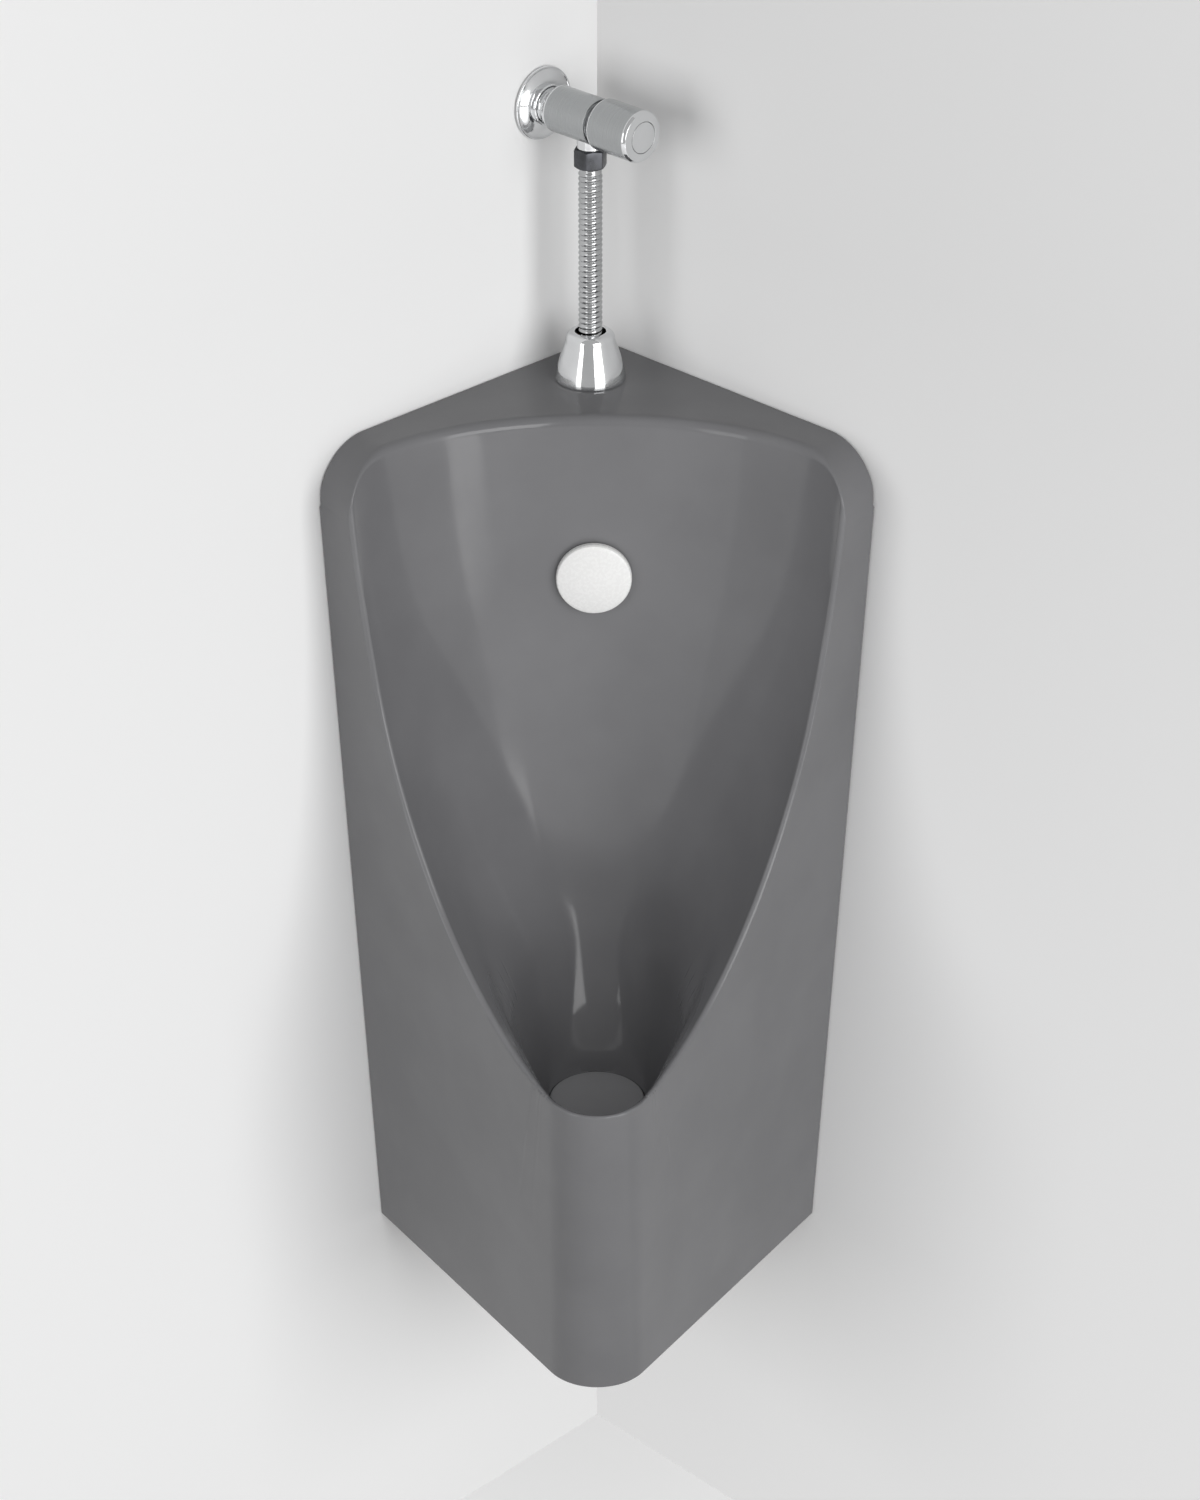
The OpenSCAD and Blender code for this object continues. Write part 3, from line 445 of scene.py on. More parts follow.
def placed_grid(columns, rows, table):
    """A sheet of faces whose vertex (i, j) lies at table[i][j], in millimetres."""
    bm = bmesh.new()
    bmesh.ops.create_grid(bm, x_segments=columns, y_segments=rows, size=0.5)
    for v in bm.verts:
        v.co = table[round((v.co.x + 0.5) * columns)][round((v.co.y + 0.5) * rows)] * MM
    return bm


def body_skin():
    """The glazed outside and bowl as one closed solid, without its hollow. Its rows lie closer together
    near the edge and the waste."""
    centres = edge_stations()
    spots = [c[2] for c in centres]
    mirror = Vector((-1, 1, 1))
    fans = [edge_fan(centres[j], spots[j - 1] if j else spots[1] * mirror,
                     spots[j + 1] if j < STATIONS else spots[STATIONS - 1] * mirror)
            for j in range(STATIONS + 1)]
    ends = outer_ends([f[-1] for f in fans])
    table = []
    for j, fan in enumerate(fans):
        if j in (0, STATIONS):
            fan = [Vector((0, p.y, p.z)) for p in fan]
            ends[j].x = 0
        column = [ends[j].lerp(fan[-1], 1 - (1 - i / OUTER_ROWS) ** 1.8) for i in range(OUTER_ROWS)]
        column += fan[::-1]
        a_top, z_top = around_waste(fan[0]), fan[0].z
        a_low = math.pi * j / STATIONS
        for i in range(1, BOWL_ROWS + 1):
            left = (1 - (i / BOWL_ROWS) ** 1.5) ** 2
            column.append(on_bowl(a_low + (a_top - a_low) * left, BOWL_FLOOR + (z_top - BOWL_FLOOR) * left))
        for z in (BOWL_FLOOR - 0.8, RECESS_FLOOR):
            column.append(Vector((RECESS_R * math.sin(a_low), RECESS_R * math.cos(a_low) - WASTE, z)))
        if j in (0, STATIONS):
            for p in column:
                p.x = 0
        table.append(column)
    bm = placed_grid(STATIONS, len(table[0]) - 1, table)
    bmesh.ops.mirror(bm, geom=bm.verts[:] + bm.edges[:] + bm.faces[:], axis="X", merge_dist=0.00001)
    bmesh.ops.remove_doubles(bm, verts=bm.verts[:], dist=0.00001)
    close_back(bm)
    bmesh.ops.recalc_face_normals(bm, faces=bm.faces[:])
    return bm


def close_back(bm):
    """Closes the recess, the two faces on the walls, the flat at the corner and the underside."""
    rim = [e for e in bm.edges if e.is_boundary]
    recess = [e for e in rim if max(abs(v.co.z - RECESS_FLOOR * MM) for v in e.verts) < 1e-6
              and (e.verts[0].co.xy - Vector((0, -WASTE * MM))).length < (RECESS_R + 1) * MM]
    bmesh.ops.contextual_create(bm, geom=recess)
    outer = [e for e in bm.edges if e.is_boundary]
    low = [bm.verts.new(Vector((x, -CORNER_FLAT, 0)) * MM) for x in (-CORNER_FLAT, CORNER_FLAT)]
    corners = {}
    for e in outer:
        for v in e.verts:
            p = v.co / MM
            if (p - Vector((FOOT * (1 if p.x > 0 else -1), -FOOT, 0))).length < 0.01:
                corners["foot", p.x > 0] = v
            if abs(abs(p.x) - CORNER_FLAT) < 0.01 and p.z > SHELF - 0.01:
                corners["top", p.x > 0] = v
    middle = bm.edges.new(low)
    sides = {right: (bm.edges.new((corners["top", right], low[right])),
                     bm.edges.new((low[right], corners["foot", right]))) for right in (False, True)}

    def edges_where(test):
        return [e for e in outer if all(test(v.co / MM) for v in e.verts)]

    for right in (False, True):
        sign = 1 if right else -1
        wall = edges_where(lambda p: abs(p.x * sign + p.y) < 0.01 and p.x * sign > CORNER_FLAT - 0.01)
        bmesh.ops.contextual_create(bm, geom=wall + list(sides[right]))
    flat = edges_where(lambda p: abs(p.x) < CORNER_FLAT + 0.01 and p.z > SHELF - 0.01)
    bmesh.ops.contextual_create(bm, geom=flat + [middle, sides[False][0], sides[True][0]])
    under = edges_where(lambda p: abs(p.z) < 0.01)
    bmesh.ops.contextual_create(bm, geom=under + [middle, sides[False][1], sides[True][1]])


def as_object(name, bm, materials=()):
    mesh = bpy.data.meshes.new(name)
    bm.to_mesh(mesh)
    bm.free()
    for m in materials:
        mesh.materials.append(m)
    made = bpy.data.objects.new(name, mesh)
    bpy.context.scene.collection.objects.link(made)
    return made


def smooth_by_angle(bm, degrees=32):
    for f in bm.faces:
        f.smooth = True
    for e in bm.edges:
        e.smooth = len(e.link_faces) == 2 and e.calc_face_angle(0) < math.radians(degrees)


def carve(target, cutters):
    """Takes each cutter out of the target and removes the cutters."""
    for cutter in cutters:
        cut = target.modifiers.new("cut", "BOOLEAN")
        cut.operation = "DIFFERENCE"
        cut.solver = "EXACT"
        cut.object = cutter
        cut.material_mode = "TRANSFER"
    shown = target.evaluated_get(bpy.context.evaluated_depsgraph_get())
    mesh = bpy.data.meshes.new_from_object(shown)
    target.modifiers.clear()
    target.data = mesh
    for cutter in cutters:
        bpy.data.objects.remove(cutter)


# A cube that is wider than the whole object
BLOCK = 2400


def convex(planes):
    """The solid behind all of the planes, each given by a point in millimetres and its outward normal."""
    bm = bmesh.new()
    bmesh.ops.create_cube(bm, size=BLOCK * MM)
    for point, normal in planes:
        cut = bmesh.ops.bisect_plane(bm, geom=bm.verts[:] + bm.edges[:] + bm.faces[:], dist=1e-7,
                                     plane_co=Vector(point) * MM, plane_no=Vector(normal), clear_outer=True)
        edges = [g for g in cut["geom_cut"] if isinstance(g, bmesh.types.BMEdge)]
        bmesh.ops.holes_fill(bm, edges=edges, sides=0)
    bmesh.ops.recalc_face_normals(bm, faces=bm.faces[:])
    return bm


# Facets of the hollow's shoulders and nose, and faces of the bowl's hidden outside
SHOULDER_FACETS = 9
NOSE_FACETS = 6
THICK_COLUMNS = 72
THICK_ROWS = 24


def inner_outline():
    """Planes of the outline, set in by the ceramic's thickness, with shoulders and nose in facets."""
    diagonal = CERAMIC * math.sqrt(2)
    top = SHELF - SHELF_T
    planes = [((0, 0, top), (0, 0, 1)), ((0, -diagonal, 0), (1, 1, 0)), ((0, -diagonal, 0), (-1, 1, 0)),
              ((0, -CORNER_FLAT - diagonal, 0), (0, 1, 0)), ((0, 0, -5), (0, 0, -1))]
    shoulder_r = SHOULDER_R - CERAMIC
    centre_z = top - shoulder_r
    centre_m = PANEL_0 + LEAN * centre_z - SHOULDER_R / math.cos(TILT)
    nose_lean = FLARE * (1 + TAN_P)
    for sign in (-1, 1):
        side = Vector((sign * SIN_P, -COS_P, 0))
        centre = side * centre_m + Vector((0, 0, centre_z))
        for i in range(SHOULDER_FACETS):
            angle = -TILT + (math.pi / 2 + TILT) * i / SHOULDER_FACETS
            way = side * math.cos(angle) + Vector((0, 0, math.sin(angle)))
            planes.append((centre + way * shoulder_r, way))
        for i in range(NOSE_FACETS):
            angle = PANEL_ANGLE * i / NOSE_FACETS
            way = Vector((sign * math.sin(angle), -math.cos(angle), 0))
            at_nose = Vector((0, -nose_centre(0), 0)) + way * (NOSE_R - CERAMIC)
            planes.append((at_nose, way + Vector((0, 0, -nose_lean * math.cos(angle)))))
    return planes


def thick_bowl():
    """The bowl with its ceramic round it, which stands in the hollow."""
    table = []
    for i in range(THICK_COLUMNS + 1):
        turn = 2 * math.pi * i / THICK_COLUMNS
        a = min(turn, 2 * math.pi - turn)
        column = []
        for j in range(THICK_ROWS + 1):
            z = BOWL_FLOOR + (EDGE_HIGH - BOWL_FLOOR) * (j / THICK_ROWS) ** 1.6
            p = on_bowl(a, z, CERAMIC)
            p.x *= 1 if turn <= math.pi else -1
            p.z -= CERAMIC * min(max((LIP - z) / (LIP - BOWL_FLOOR), 0), 1)
            column.append(p)
        table.append(column)
    bm = placed_grid(THICK_COLUMNS, THICK_ROWS, table)
    bmesh.ops.remove_doubles(bm, verts=bm.verts[:], dist=0.00001)
    bmesh.ops.holes_fill(bm, edges=[e for e in bm.edges if e.is_boundary], sides=0)
    bmesh.ops.recalc_face_normals(bm, faces=bm.faces[:])
    return bm


def rod(start, end, r):
    """A closed cylinder between two points."""
    start, end = Vector(start) * MM, Vector(end) * MM
    bm = bmesh.new()
    turn = (end - start).to_track_quat("Z", "Y").to_matrix().to_4x4()
    bmesh.ops.create_cone(bm, cap_ends=True, segments=48, radius1=r * MM, radius2=r * MM,
                          depth=(end - start).length, matrix=Matrix.Translation((start + end) / 2) @ turn)
    return bm


def wall_frame(along, height, right=False):
    """Places a shape on a room wall: local x points to the corner, y up and z into the room."""
    sign = 1 if right else -1
    s = math.sqrt(0.5)
    out = Vector((-sign * s, -s, 0))
    to_corner = Vector((-sign * s, s, 0))
    place = Matrix.Identity(4)
    place.col[0][:3], place.col[1][:3], place.col[2][:3] = to_corner, (0, 0, 1), out
    place.col[3][:3] = Vector((sign * along * s, -along * s, height)) * MM
    return place


# Water way: the riser's axis in plan, the spreader's place and the bores and thick walls round them
SUPPLY = (-5.303, -81.671)
SPREADER_X = -2.5
SPREADER_Z = 614
SUPPLY_BORE_R = 15
DUCT_R = 25
SPREADER_BORE_R = 11
DUCT_FOOT_R = 21

# Seat of the waste fitting
SEAT_R = 44
SEAT_LOW = 180
SEAT_HOLE_R = 22.5

# Openings in each back web: distance from the corner line along the wall, and height
HANGER_AT = (165, 655)
NOTCH_AT = (219.9, 92)
SCREW_AT = (110, 70)
OPENING_HALF_W = 25
WINDOW_H = 56
WINDOW_CORNER_R = 6
SCREW_HOLE_R = 5.5


def slot_shape(half_w, low, high, corner_r, right_wall, place, round_top=False):
    """A cutter through a back web: a flat shape on the wall with its lower or upper corners rounded."""
    bm = bmesh.new()
    bmesh.ops.create_cube(bm, size=1)
    bmesh.ops.scale(bm, vec=(2 * half_w, high - low, 40), verts=bm.verts[:])
    bmesh.ops.translate(bm, vec=(0, (high + low) / 2, 0), verts=bm.verts[:])
    level = high if round_top else low
    edges = [e for e in bm.edges if all(abs(v.co.y - level) < 0.01 for v in e.verts)
             and abs(e.verts[0].co.z - e.verts[1].co.z) > 1]
    bmesh.ops.bevel(bm, geom=edges, offset=corner_r, offset_type="OFFSET", affect="EDGES", segments=12,
                    profile=0.5, material=-1)
    bmesh.ops.scale(bm, vec=(MM, MM, MM), verts=bm.verts[:])
    bmesh.ops.transform(bm, matrix=wall_frame(*place, right_wall), verts=bm.verts[:])
    bmesh.ops.recalc_face_normals(bm, faces=bm.faces[:])
    return bm


def ceramic_body(glaze, clay):
    """The body, glazed outside, with its unglazed hollow, water way, waste seat and wall openings."""
    sx, sy = SUPPLY
    above = SHELF + 20

    def down(name, x, y, low, high, r):
        return as_object(name, rod((x, y, low), (x, y, high), r), [clay])

    def forward(name, past_back, r):
        start, end = (SPREADER_X, sy, SPREADER_Z), (SPREADER_X, -BOWL_BACK - past_back, SPREADER_Z)
        return as_object(name, rod(start, end, r), [clay])

    body = as_object("glazed_body", body_skin(), [glaze])
    hollow = as_object("hollow", convex(inner_outline()), [clay])
    carve(hollow, [as_object("thick_bowl", thick_bowl(), [clay]),
                   down("duct", sx, sy, SPREADER_Z - DUCT_FOOT_R, above, DUCT_R),
                   forward("duct_foot", 8, DUCT_FOOT_R),
                   down("seat", 0, -WASTE, SEAT_LOW, BOWL_FLOOR, SEAT_R)])
    cutters = [hollow,
               down("seat_hole", 0, -WASTE, 100, BOWL_FLOOR + 4, SEAT_HOLE_R),
               down("supply_bore", sx, sy, SPREADER_Z - SPREADER_BORE_R, above, SUPPLY_BORE_R),
               forward("spreader_bore", 20, SPREADER_BORE_R)]
    for right in (False, True):
        window = slot_shape(OPENING_HALF_W, -WINDOW_H, 0, WINDOW_CORNER_R, right, HANGER_AT)
        notch = slot_shape(OPENING_HALF_W, -150, OPENING_HALF_W, OPENING_HALF_W - 0.1, right, NOTCH_AT, True)
        hole = bmesh.new()
        bmesh.ops.create_cone(hole, cap_ends=True, segments=32, radius1=SCREW_HOLE_R * MM,
                              radius2=SCREW_HOLE_R * MM, depth=40 * MM, matrix=wall_frame(*SCREW_AT, right))
        bmesh.ops.recalc_face_normals(hole, faces=hole.faces[:])
        for name, bm in (("window", window), ("notch", notch), ("screw_hole", hole)):
            cutters.append(as_object(name, bm, [clay]))
    carve(body, cutters)
    bm = bmesh.new()
    bm.from_mesh(body.data)
    smooth_by_angle(bm)
    bm.to_mesh(body.data)
    bm.free()
    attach(body, "urinal")
    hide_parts("urinal_body")
    return body


# Turned and cut pieces


def soften(points, steps=5):
    """A profile's points, where a third number rounds that corner to this radius."""
    made = []
    for i, point in enumerate(points):
        at = Vector(point[:2])
        r = point[2] if len(point) > 2 else 0
        if not r:
            made.append(at)
            continue
        u = (Vector(points[i - 1][:2]) - at).normalized()
        v = (Vector(points[(i + 1) % len(points)][:2]) - at).normalized()
        half = u.angle(v) / 2
        centre = at + (u + v).normalized() * r / math.sin(half)
        start, end = at + u * r / math.tan(half) - centre, at + v * r / math.tan(half) - centre
        turn = math.atan2(start.x * end.y - start.y * end.x, start.dot(end))
        for k in range(steps + 1):
            made.append(centre + Matrix.Rotation(turn * k / steps, 2) @ start)
    return made


def finish(name, bm, place, material, node, body="urinal", slot="chrome", sharp=32):
    """Puts a shape made in millimetres in its place as one visible piece of the object."""
    bmesh.ops.scale(bm, vec=(MM, MM, MM), verts=bm.verts[:])
    bmesh.ops.transform(bm, matrix=place, verts=bm.verts[:])
    bmesh.ops.recalc_face_normals(bm, faces=bm.faces[:])
    smooth_by_angle(bm, sharp)
    made = as_object(name, bm, [material])
    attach(made, body)
    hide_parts(node)
    return made


def spun(points, segments=96):
    """A closed profile of radius and height, spun once round the z axis."""
    bm = bmesh.new()
    ring = [bm.verts.new((p[0], 0, p[1])) for p in soften(points)]
    # An edge on the axis itself would sweep no face
    edges = [bm.edges.new((a, b)) for a, b in zip([ring[-1]] + ring, ring) if max(a.co.x, b.co.x) > 0.001]
    bmesh.ops.spin(bm, geom=ring + edges, cent=(0, 0, 0), axis=(0, 0, 1), angle=2 * math.pi, steps=segments,
                   use_merge=True, use_duplicate=False)
    bmesh.ops.remove_doubles(bm, verts=bm.verts[:], dist=0.0005)
    return bm


def turned(name, points, place, material, node, segments=96, **more):
    return finish(name, spun(points, segments), place, material, node, **more)


def hexagon(across_flats, low, high):
    """A hexagon bar whose ends are chamfered round at 30 degrees, with softened edges."""
    face_r = 0.48 * across_flats
    chamfer = math.radians(30)
    cone_sides = 48
    planes = [((0, 0, high), (0, 0, 1)), ((0, 0, low), (0, 0, -1))]
    for i in range(6):
        angle = math.radians(45 + 60 * i)
        way = Vector((math.cos(angle), math.sin(angle), 0))
        planes.append((way * across_flats / 2, way))
    for i in range(cone_sides):
        angle = 2 * math.pi * i / cone_sides
        way = Vector((math.cos(angle), math.sin(angle), 0))
        for level, up in ((high, 1), (low, -1)):
            slope = way * math.sin(chamfer) + Vector((0, 0, up * math.cos(chamfer)))
            planes.append((way * face_r + Vector((0, 0, level)), slope))
    bm = convex(planes)
    bmesh.ops.scale(bm, vec=(1 / MM, 1 / MM, 1 / MM), verts=bm.verts[:])
    edges = [e for e in bm.edges if e.calc_face_angle(0) > math.radians(40)]
    bmesh.ops.bevel(bm, geom=edges, offset=0.5, offset_type="OFFSET", affect="EDGES", segments=3, profile=0.5,
                    material=-1)
    return bm


def at(x, y, z):
    return Matrix.Translation(Vector((x, y, z)) * MM)


# Flush valve: places along its axis are distances from the wall
VALVE = wall_frame(61.5, 977)
OUTLET_DOWN = Matrix.Rotation(math.radians(90), 4, "X")
OUTLET_AT = 54
BORE_R = 12.6
BARREL_FROM = 21
BARREL_TO = 64.48
BARREL_R = 19
BUTTON_FROM = 70.08
BUTTON_R = 21


def wall_flange(chrome):
    """Domed cover plate, pressed from thin sheet, with a short upright collar round the neck."""
    dome = [(28.4 - 11.5 * i / 24, 1.6 + 4 * math.sin(math.pi / 2 * (i / 24) ** 1.3)) for i in range(25)]
    under = [(r - 0.1, h - 1.2) for r, h in dome[::-1]]
    points = [(28.8, 0), (30, 0, 0.3), (30, 2.1, 0.9), (28.7, 2.1, 0.3)] + dome[1:]
    points += [(16.9, 8.6, 0.3), (16.2, 9, 0.3), (15.3, 9, 0.2), (15.3, 4.6)] + under[1:-1]
    turned("flange_cover", points, VALVE, chrome, "wall_flange")


def flush_valve(chrome, satin):
    """Body of the valve: polished neck with its chamfer, satin barrel, the narrow neck that shows as a groove
    before the button, and the outlet's collar."""
    neck = [(BORE_R, 3), (15, 3, 0.3), (15, 14.5, 1.2), (18.2, 17.6, 0.8), (BARREL_R, 19.8, 0.6),
            (BARREL_R, BARREL_FROM), (BORE_R, BARREL_FROM)]
    turned("valve_neck", neck, VALVE, chrome, "valve_body")
    ground_r = BARREL_R - 0.05
    groove_r = 16.2
    inside = BARREL_TO - 2
    barrel = [(BORE_R, BARREL_FROM), (ground_r, BARREL_FROM), (ground_r, BARREL_TO, 0.7),
              (groove_r, BARREL_TO, 0.2), (groove_r, inside), (BORE_R, inside)]
    turned("valve_barrel", barrel, VALVE, satin, "valve_body", slot="brushed_chrome")
    front = [(13, inside), (16, inside), (16, 80.08, 0.5), (13, 80.08)]
    turned("valve_front_neck", front, VALVE, chrome, "valve_body")
    # The collar leaves the barrel downwards and holds the nut's thread. The pressed button clears it
    down = VALVE @ at(0, 0, OUTLET_AT) @ OUTLET_DOWN
    collar = [(6, 14.5), (10.9, 14.5), (10.9, 18.6), (10.7, 20.4, 0.6), (10.7, 23.2, 0.5), (10.2, 23.4),
              (10.2, 35), (6, 35)]
    turned("outlet_collar", collar, down, chrome, "valve_body", segments=64)


def crowned(r, edge, rise, steps):
    """Points of a shallow dome, from the step after its edge to the axis."""
    return [(r * (1 - i / steps), edge + rise * (1 - (1 - i / steps) ** 2)) for i in range(1, steps + 1)]


def press_button(chrome, satin):
    """Polished back rim, satin sleeve, polished end ring, and the plain disc that is let into it."""
    sleeve_from, sleeve_to, wall_r, disc_seat = 71.6, 108.6, 18, 110
    back = [(wall_r, BUTTON_FROM), (20.6, BUTTON_FROM, 0.4), (BUTTON_R, BUTTON_FROM + 0.9, 0.4),
            (BUTTON_R, sleeve_from), (wall_r, sleeve_from)]
    turned("button_back_rim", back, VALVE, chrome, "push_button", body="button")
    sleeve = [(wall_r, sleeve_from), (20.85, sleeve_from), (20.85, sleeve_to), (wall_r, sleeve_to)]
    turned("button_sleeve", sleeve, VALVE, satin, "push_button", body="button", slot="brushed_chrome")
    end = [(4.1, 106), (wall_r, 106), (wall_r, sleeve_to), (20.95, sleeve_to), (20.95, 109.4, 0.3),
           (19.6, 111.9, 1), (15.5, 112.6, 0.8), (13, 112.8, 0.1), (12.8, 112.1), (12.7, disc_seat),
           (4.1, disc_seat)]
    turned("button_end_ring", end, VALVE, chrome, "push_button", body="button")
    disc = [(0, disc_seat), (12.5, disc_seat), (12.5, 112.75, 0.15)] + crowned(12.5, 112.75, 1.1, 16)
    turned("button_end_disc", disc, VALVE, chrome, "button_disc", body="button")


def return_spring(steel):
    """The button's coil spring, which is squeezed against the bonnet as the button goes in."""
    bm = bmesh.new()
    bm.from_mesh(frame["nodes"]["return_spring"].data)
    bmesh.ops.remove_doubles(bm, verts=bm.verts[:], dist=0.000001)
    smooth_by_angle(bm, 60)
    coil = as_object("spring_coil", bm, [steel])
    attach(coil, "urinal")
    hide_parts("return_spring")
    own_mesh(coil)


# Supply: heights of both nuts' and the hose's ends, the nuts' width across flats, and radii
NUT_AF = 23.6
THREAD_R = 10.6
UPPER_NUT = (937.5, 953.5)
LOWER_NUT = (766.4, 782.4)
HOSE_ENDS = (777.8, 942.1)
HOSE_R = 9.75
HOSE_CORE = 8.45
BELL_R = 29
BELL_T = 1.2


def hose_nut(name, low, high, dark, node):
    """Hexagon nut with a lip at the hose's side, and the wider bore of its thread at the other."""
    lip_r = HOSE_CORE + 0.4
    over = 2
    if node == "upper_hose_nut":
        profile = [(0, low - over), (lip_r, low - over), (lip_r, low + 3.2, 0.3), (THREAD_R, low + 3.2),
                   (THREAD_R, high + over), (0, high + over)]
    else:
        profile = [(0, low - over), (THREAD_R, low - over), (THREAD_R, high - 3), (lip_r, high - 3),
                   (lip_r, high + over), (0, high + over)]
    nut = as_object(name, hexagon(NUT_AF, low, high), [dark])
    carve(nut, [as_object("bore", spun(profile, 48), [dark])])
    bm = bmesh.new()
    bm.from_mesh(nut.data)
    bpy.data.objects.remove(nut)
    finish(name, bm, at(*SUPPLY, 0), dark, node, slot="dark_steel")


def supply_hose(steel):
    """Corrugated steel tube: one rounded rib winds up it between two plain ends."""
    low, high = HOSE_ENDS
    from_z, to_z = LOWER_NUT[1] + 1, UPPER_NUT[0] - 1
    tube_r = HOSE_CORE - 2
    ribs, per_rib, columns = 34, 10, 40
    rows = ribs * per_rib
    table = []
    for i in range(columns + 1):
        angle = 2 * math.pi * i / columns
        way = Vector((math.cos(angle), math.sin(angle), 0))
        column = [way * tube_r + Vector((0, 0, low)), way * HOSE_CORE + Vector((0, 0, low))]
        for j in range(rows + 1):
            z = from_z + (to_z - from_z) * j / rows
            rib = math.sin(math.pi * (j / per_rib - i / columns)) ** 2
            fade = min(1, j / per_rib, (rows - j) / per_rib)
            column.append(way * (HOSE_CORE + (HOSE_R - HOSE_CORE) * fade * rib ** 0.45) + Vector((0, 0, z)))
        column += [way * HOSE_CORE + Vector((0, 0, high)), way * tube_r + Vector((0, 0, high))]
        table.append(column)
    bm = placed_grid(columns, len(table[0]) - 1, table)
    bmesh.ops.remove_doubles(bm, verts=bm.verts[:], dist=0.000001)
    bmesh.ops.holes_fill(bm, edges=[e for e in bm.edges if e.is_boundary], sides=0)
    bmesh.ops.scale(bm, vec=(1 / MM, 1 / MM, 1 / MM), verts=bm.verts[:])
    finish("ribbed_hose", bm, at(*SUPPLY, 0), steel, "corrugated_hose", slot="steel", sharp=60)


def bell(chrome):
    """Cover over the lower nut: a rounded shoulder, and a thin lip turned in round the hose."""
    steps = 20
    side = [(BELL_R - 8.85 * (i / steps) ** 1.25, 757 + 32 * i / steps) for i in range(steps + 1)]
    turns = [math.radians(10 + 8 * i) for i in range(10)]
    shoulder = [(13.15 + 7 * math.cos(a), 790 + 6.9 * math.sin(a)) for a in turns]
    under = [(13.3 + 5.8 * math.cos(a), 790 + 5.7 * math.sin(a)) for a in turns[::-1]]
    inner = [(r - BELL_T, h) for r, h in side[::-1]]
    foot = [(BELL_R - BELL_T, SHELF), (BELL_R - 0.4, SHELF, 0.3), (BELL_R, SHELF + 0.7, 0.5)]
    lip = [(13.3, 796.9, 0.4), (12.65, 796.4, 0.4), (12.65, 795.6, 0.3), (13.3, 795.6)]
    points = foot + side + shoulder[:-1] + lip + under[1:] + inner
    turned("bell_shell", points, at(*SUPPLY, 0), chrome, "bell_cover", body="bell")


def spreader(plastic):
    """White cap that spreads the rinse water behind its edge."""
    points = [(0, 6.1), (28.6, 6.1, 0.4), (28.6, 2.5), (30.5, 2.5, 0.3), (31, 3.2, 0.3), (31, 6.8, 1.2),
              (30.2, 8.9, 1), (29, 9.3)] + crowned(29, 9.3, 3.2, 20)
    place = at(SPREADER_X, -BOWL_BACK, SPREADER_Z) @ Matrix.Rotation(math.radians(90), 4, "X")
    turned("spreader_shell", points, place, plastic, "spreader_cap", slot="white_plastic", segments=128)


def waste_disc(glaze):
    """Lift-out disc over the waste, on three feet. Its glaze is paler than the bowl's, partly its own tone
    and partly painted light that makes up for the shade it sits in at the foot of the bowl.
    """
    points = [(0, 200.5), (37.6, 200.5, 0.5), (39.2, 201.6, 0.5), (39.2, 203.6, 0.9), (37.6, 204.5, 0.4)]
    bm = spun(points + crowned(37, 204.6, 1.4, 14), 128)
    for turn in (30, 150, 270):
        a = math.radians(turn)
        foot = Matrix.Translation((28 * math.cos(a), 28 * math.sin(a), 199.3))
        bmesh.ops.create_cone(bm, cap_ends=True, segments=24, radius1=2.6, radius2=3, depth=2.5, matrix=foot)
    finish("waste_disc", bm, at(0, -WASTE, 0), glaze, "waste_cover", body="cover", slot="glaze")


# Finishes


# The part of a noise's range that is stretched over its whole effect
NOISE_LOW = 0.35
NOISE_HIGH = 0.65


def grain(tree, spot, size_mm, detail=3):
    """Noise whose blobs measure about size_mm on the object."""
    return add(tree, "TexNoise", Vector=spot, Scale=1 / (2 * size_mm * MM), Detail=detail).outputs["Fac"]


def varied(tree, noise, low, high):
    """A value that runs from low to high with a noise."""
    return add(tree, "MapRange", Value=noise, From_Min=NOISE_LOW, From_Max=NOISE_HIGH,
               To_Min=low, To_Max=high).outputs[0]


def mixed(tree, noise, low_hex, high_hex):
    """A colour that runs from one to another with a noise."""
    return add(tree, "Mix", {"data_type": "RGBA"}, _0=varied(tree, noise, 0, 1), _6=srgb(low_hex),
               _7=srgb(high_hex)).outputs[2]


def bumped(tree, height, depth_mm, normal=None):
    """A normal that a height pattern of this depth tilts, on top of another normal."""
    made = add(tree, "Bump", Height=height, Distance=depth_mm * MM, Strength=1)
    if normal:
        tree.links.new(normal, made.inputs["Normal"])
    return made.outputs[0]


def shader(tree, out, **links):
    made = add(tree, "BsdfPrincipled", **links)
    tree.links.new(made.outputs[0], out.inputs["Surface"])


def object_spot(tree):
    return add(tree, "TexCoord").outputs["Object"]


def glazed_china(name, low_hex, high_hex):
    """Vitreous china under a fired grey glaze: clear gloss that mirrors softly, with the faint waves of a
    glaze that ran in the kiln and slightly cloudy colour."""
    made, tree, out = new_material(name)
    spot = object_spot(tree)
    cloud = grain(tree, spot, 45, 4)
    wave = grain(tree, spot, 28, 2)
    peel = grain(tree, spot, 3.2, 2)
    normal = bumped(tree, peel, 0.012, bumped(tree, wave, 0.07))
    shader(tree, out, Base_Color=mixed(tree, cloud, low_hex, high_hex),
           Roughness=varied(tree, wave, 0.09, 0.13), IOR=1.5, Specular_IOR_Level=0.35, Normal=normal)
    return made


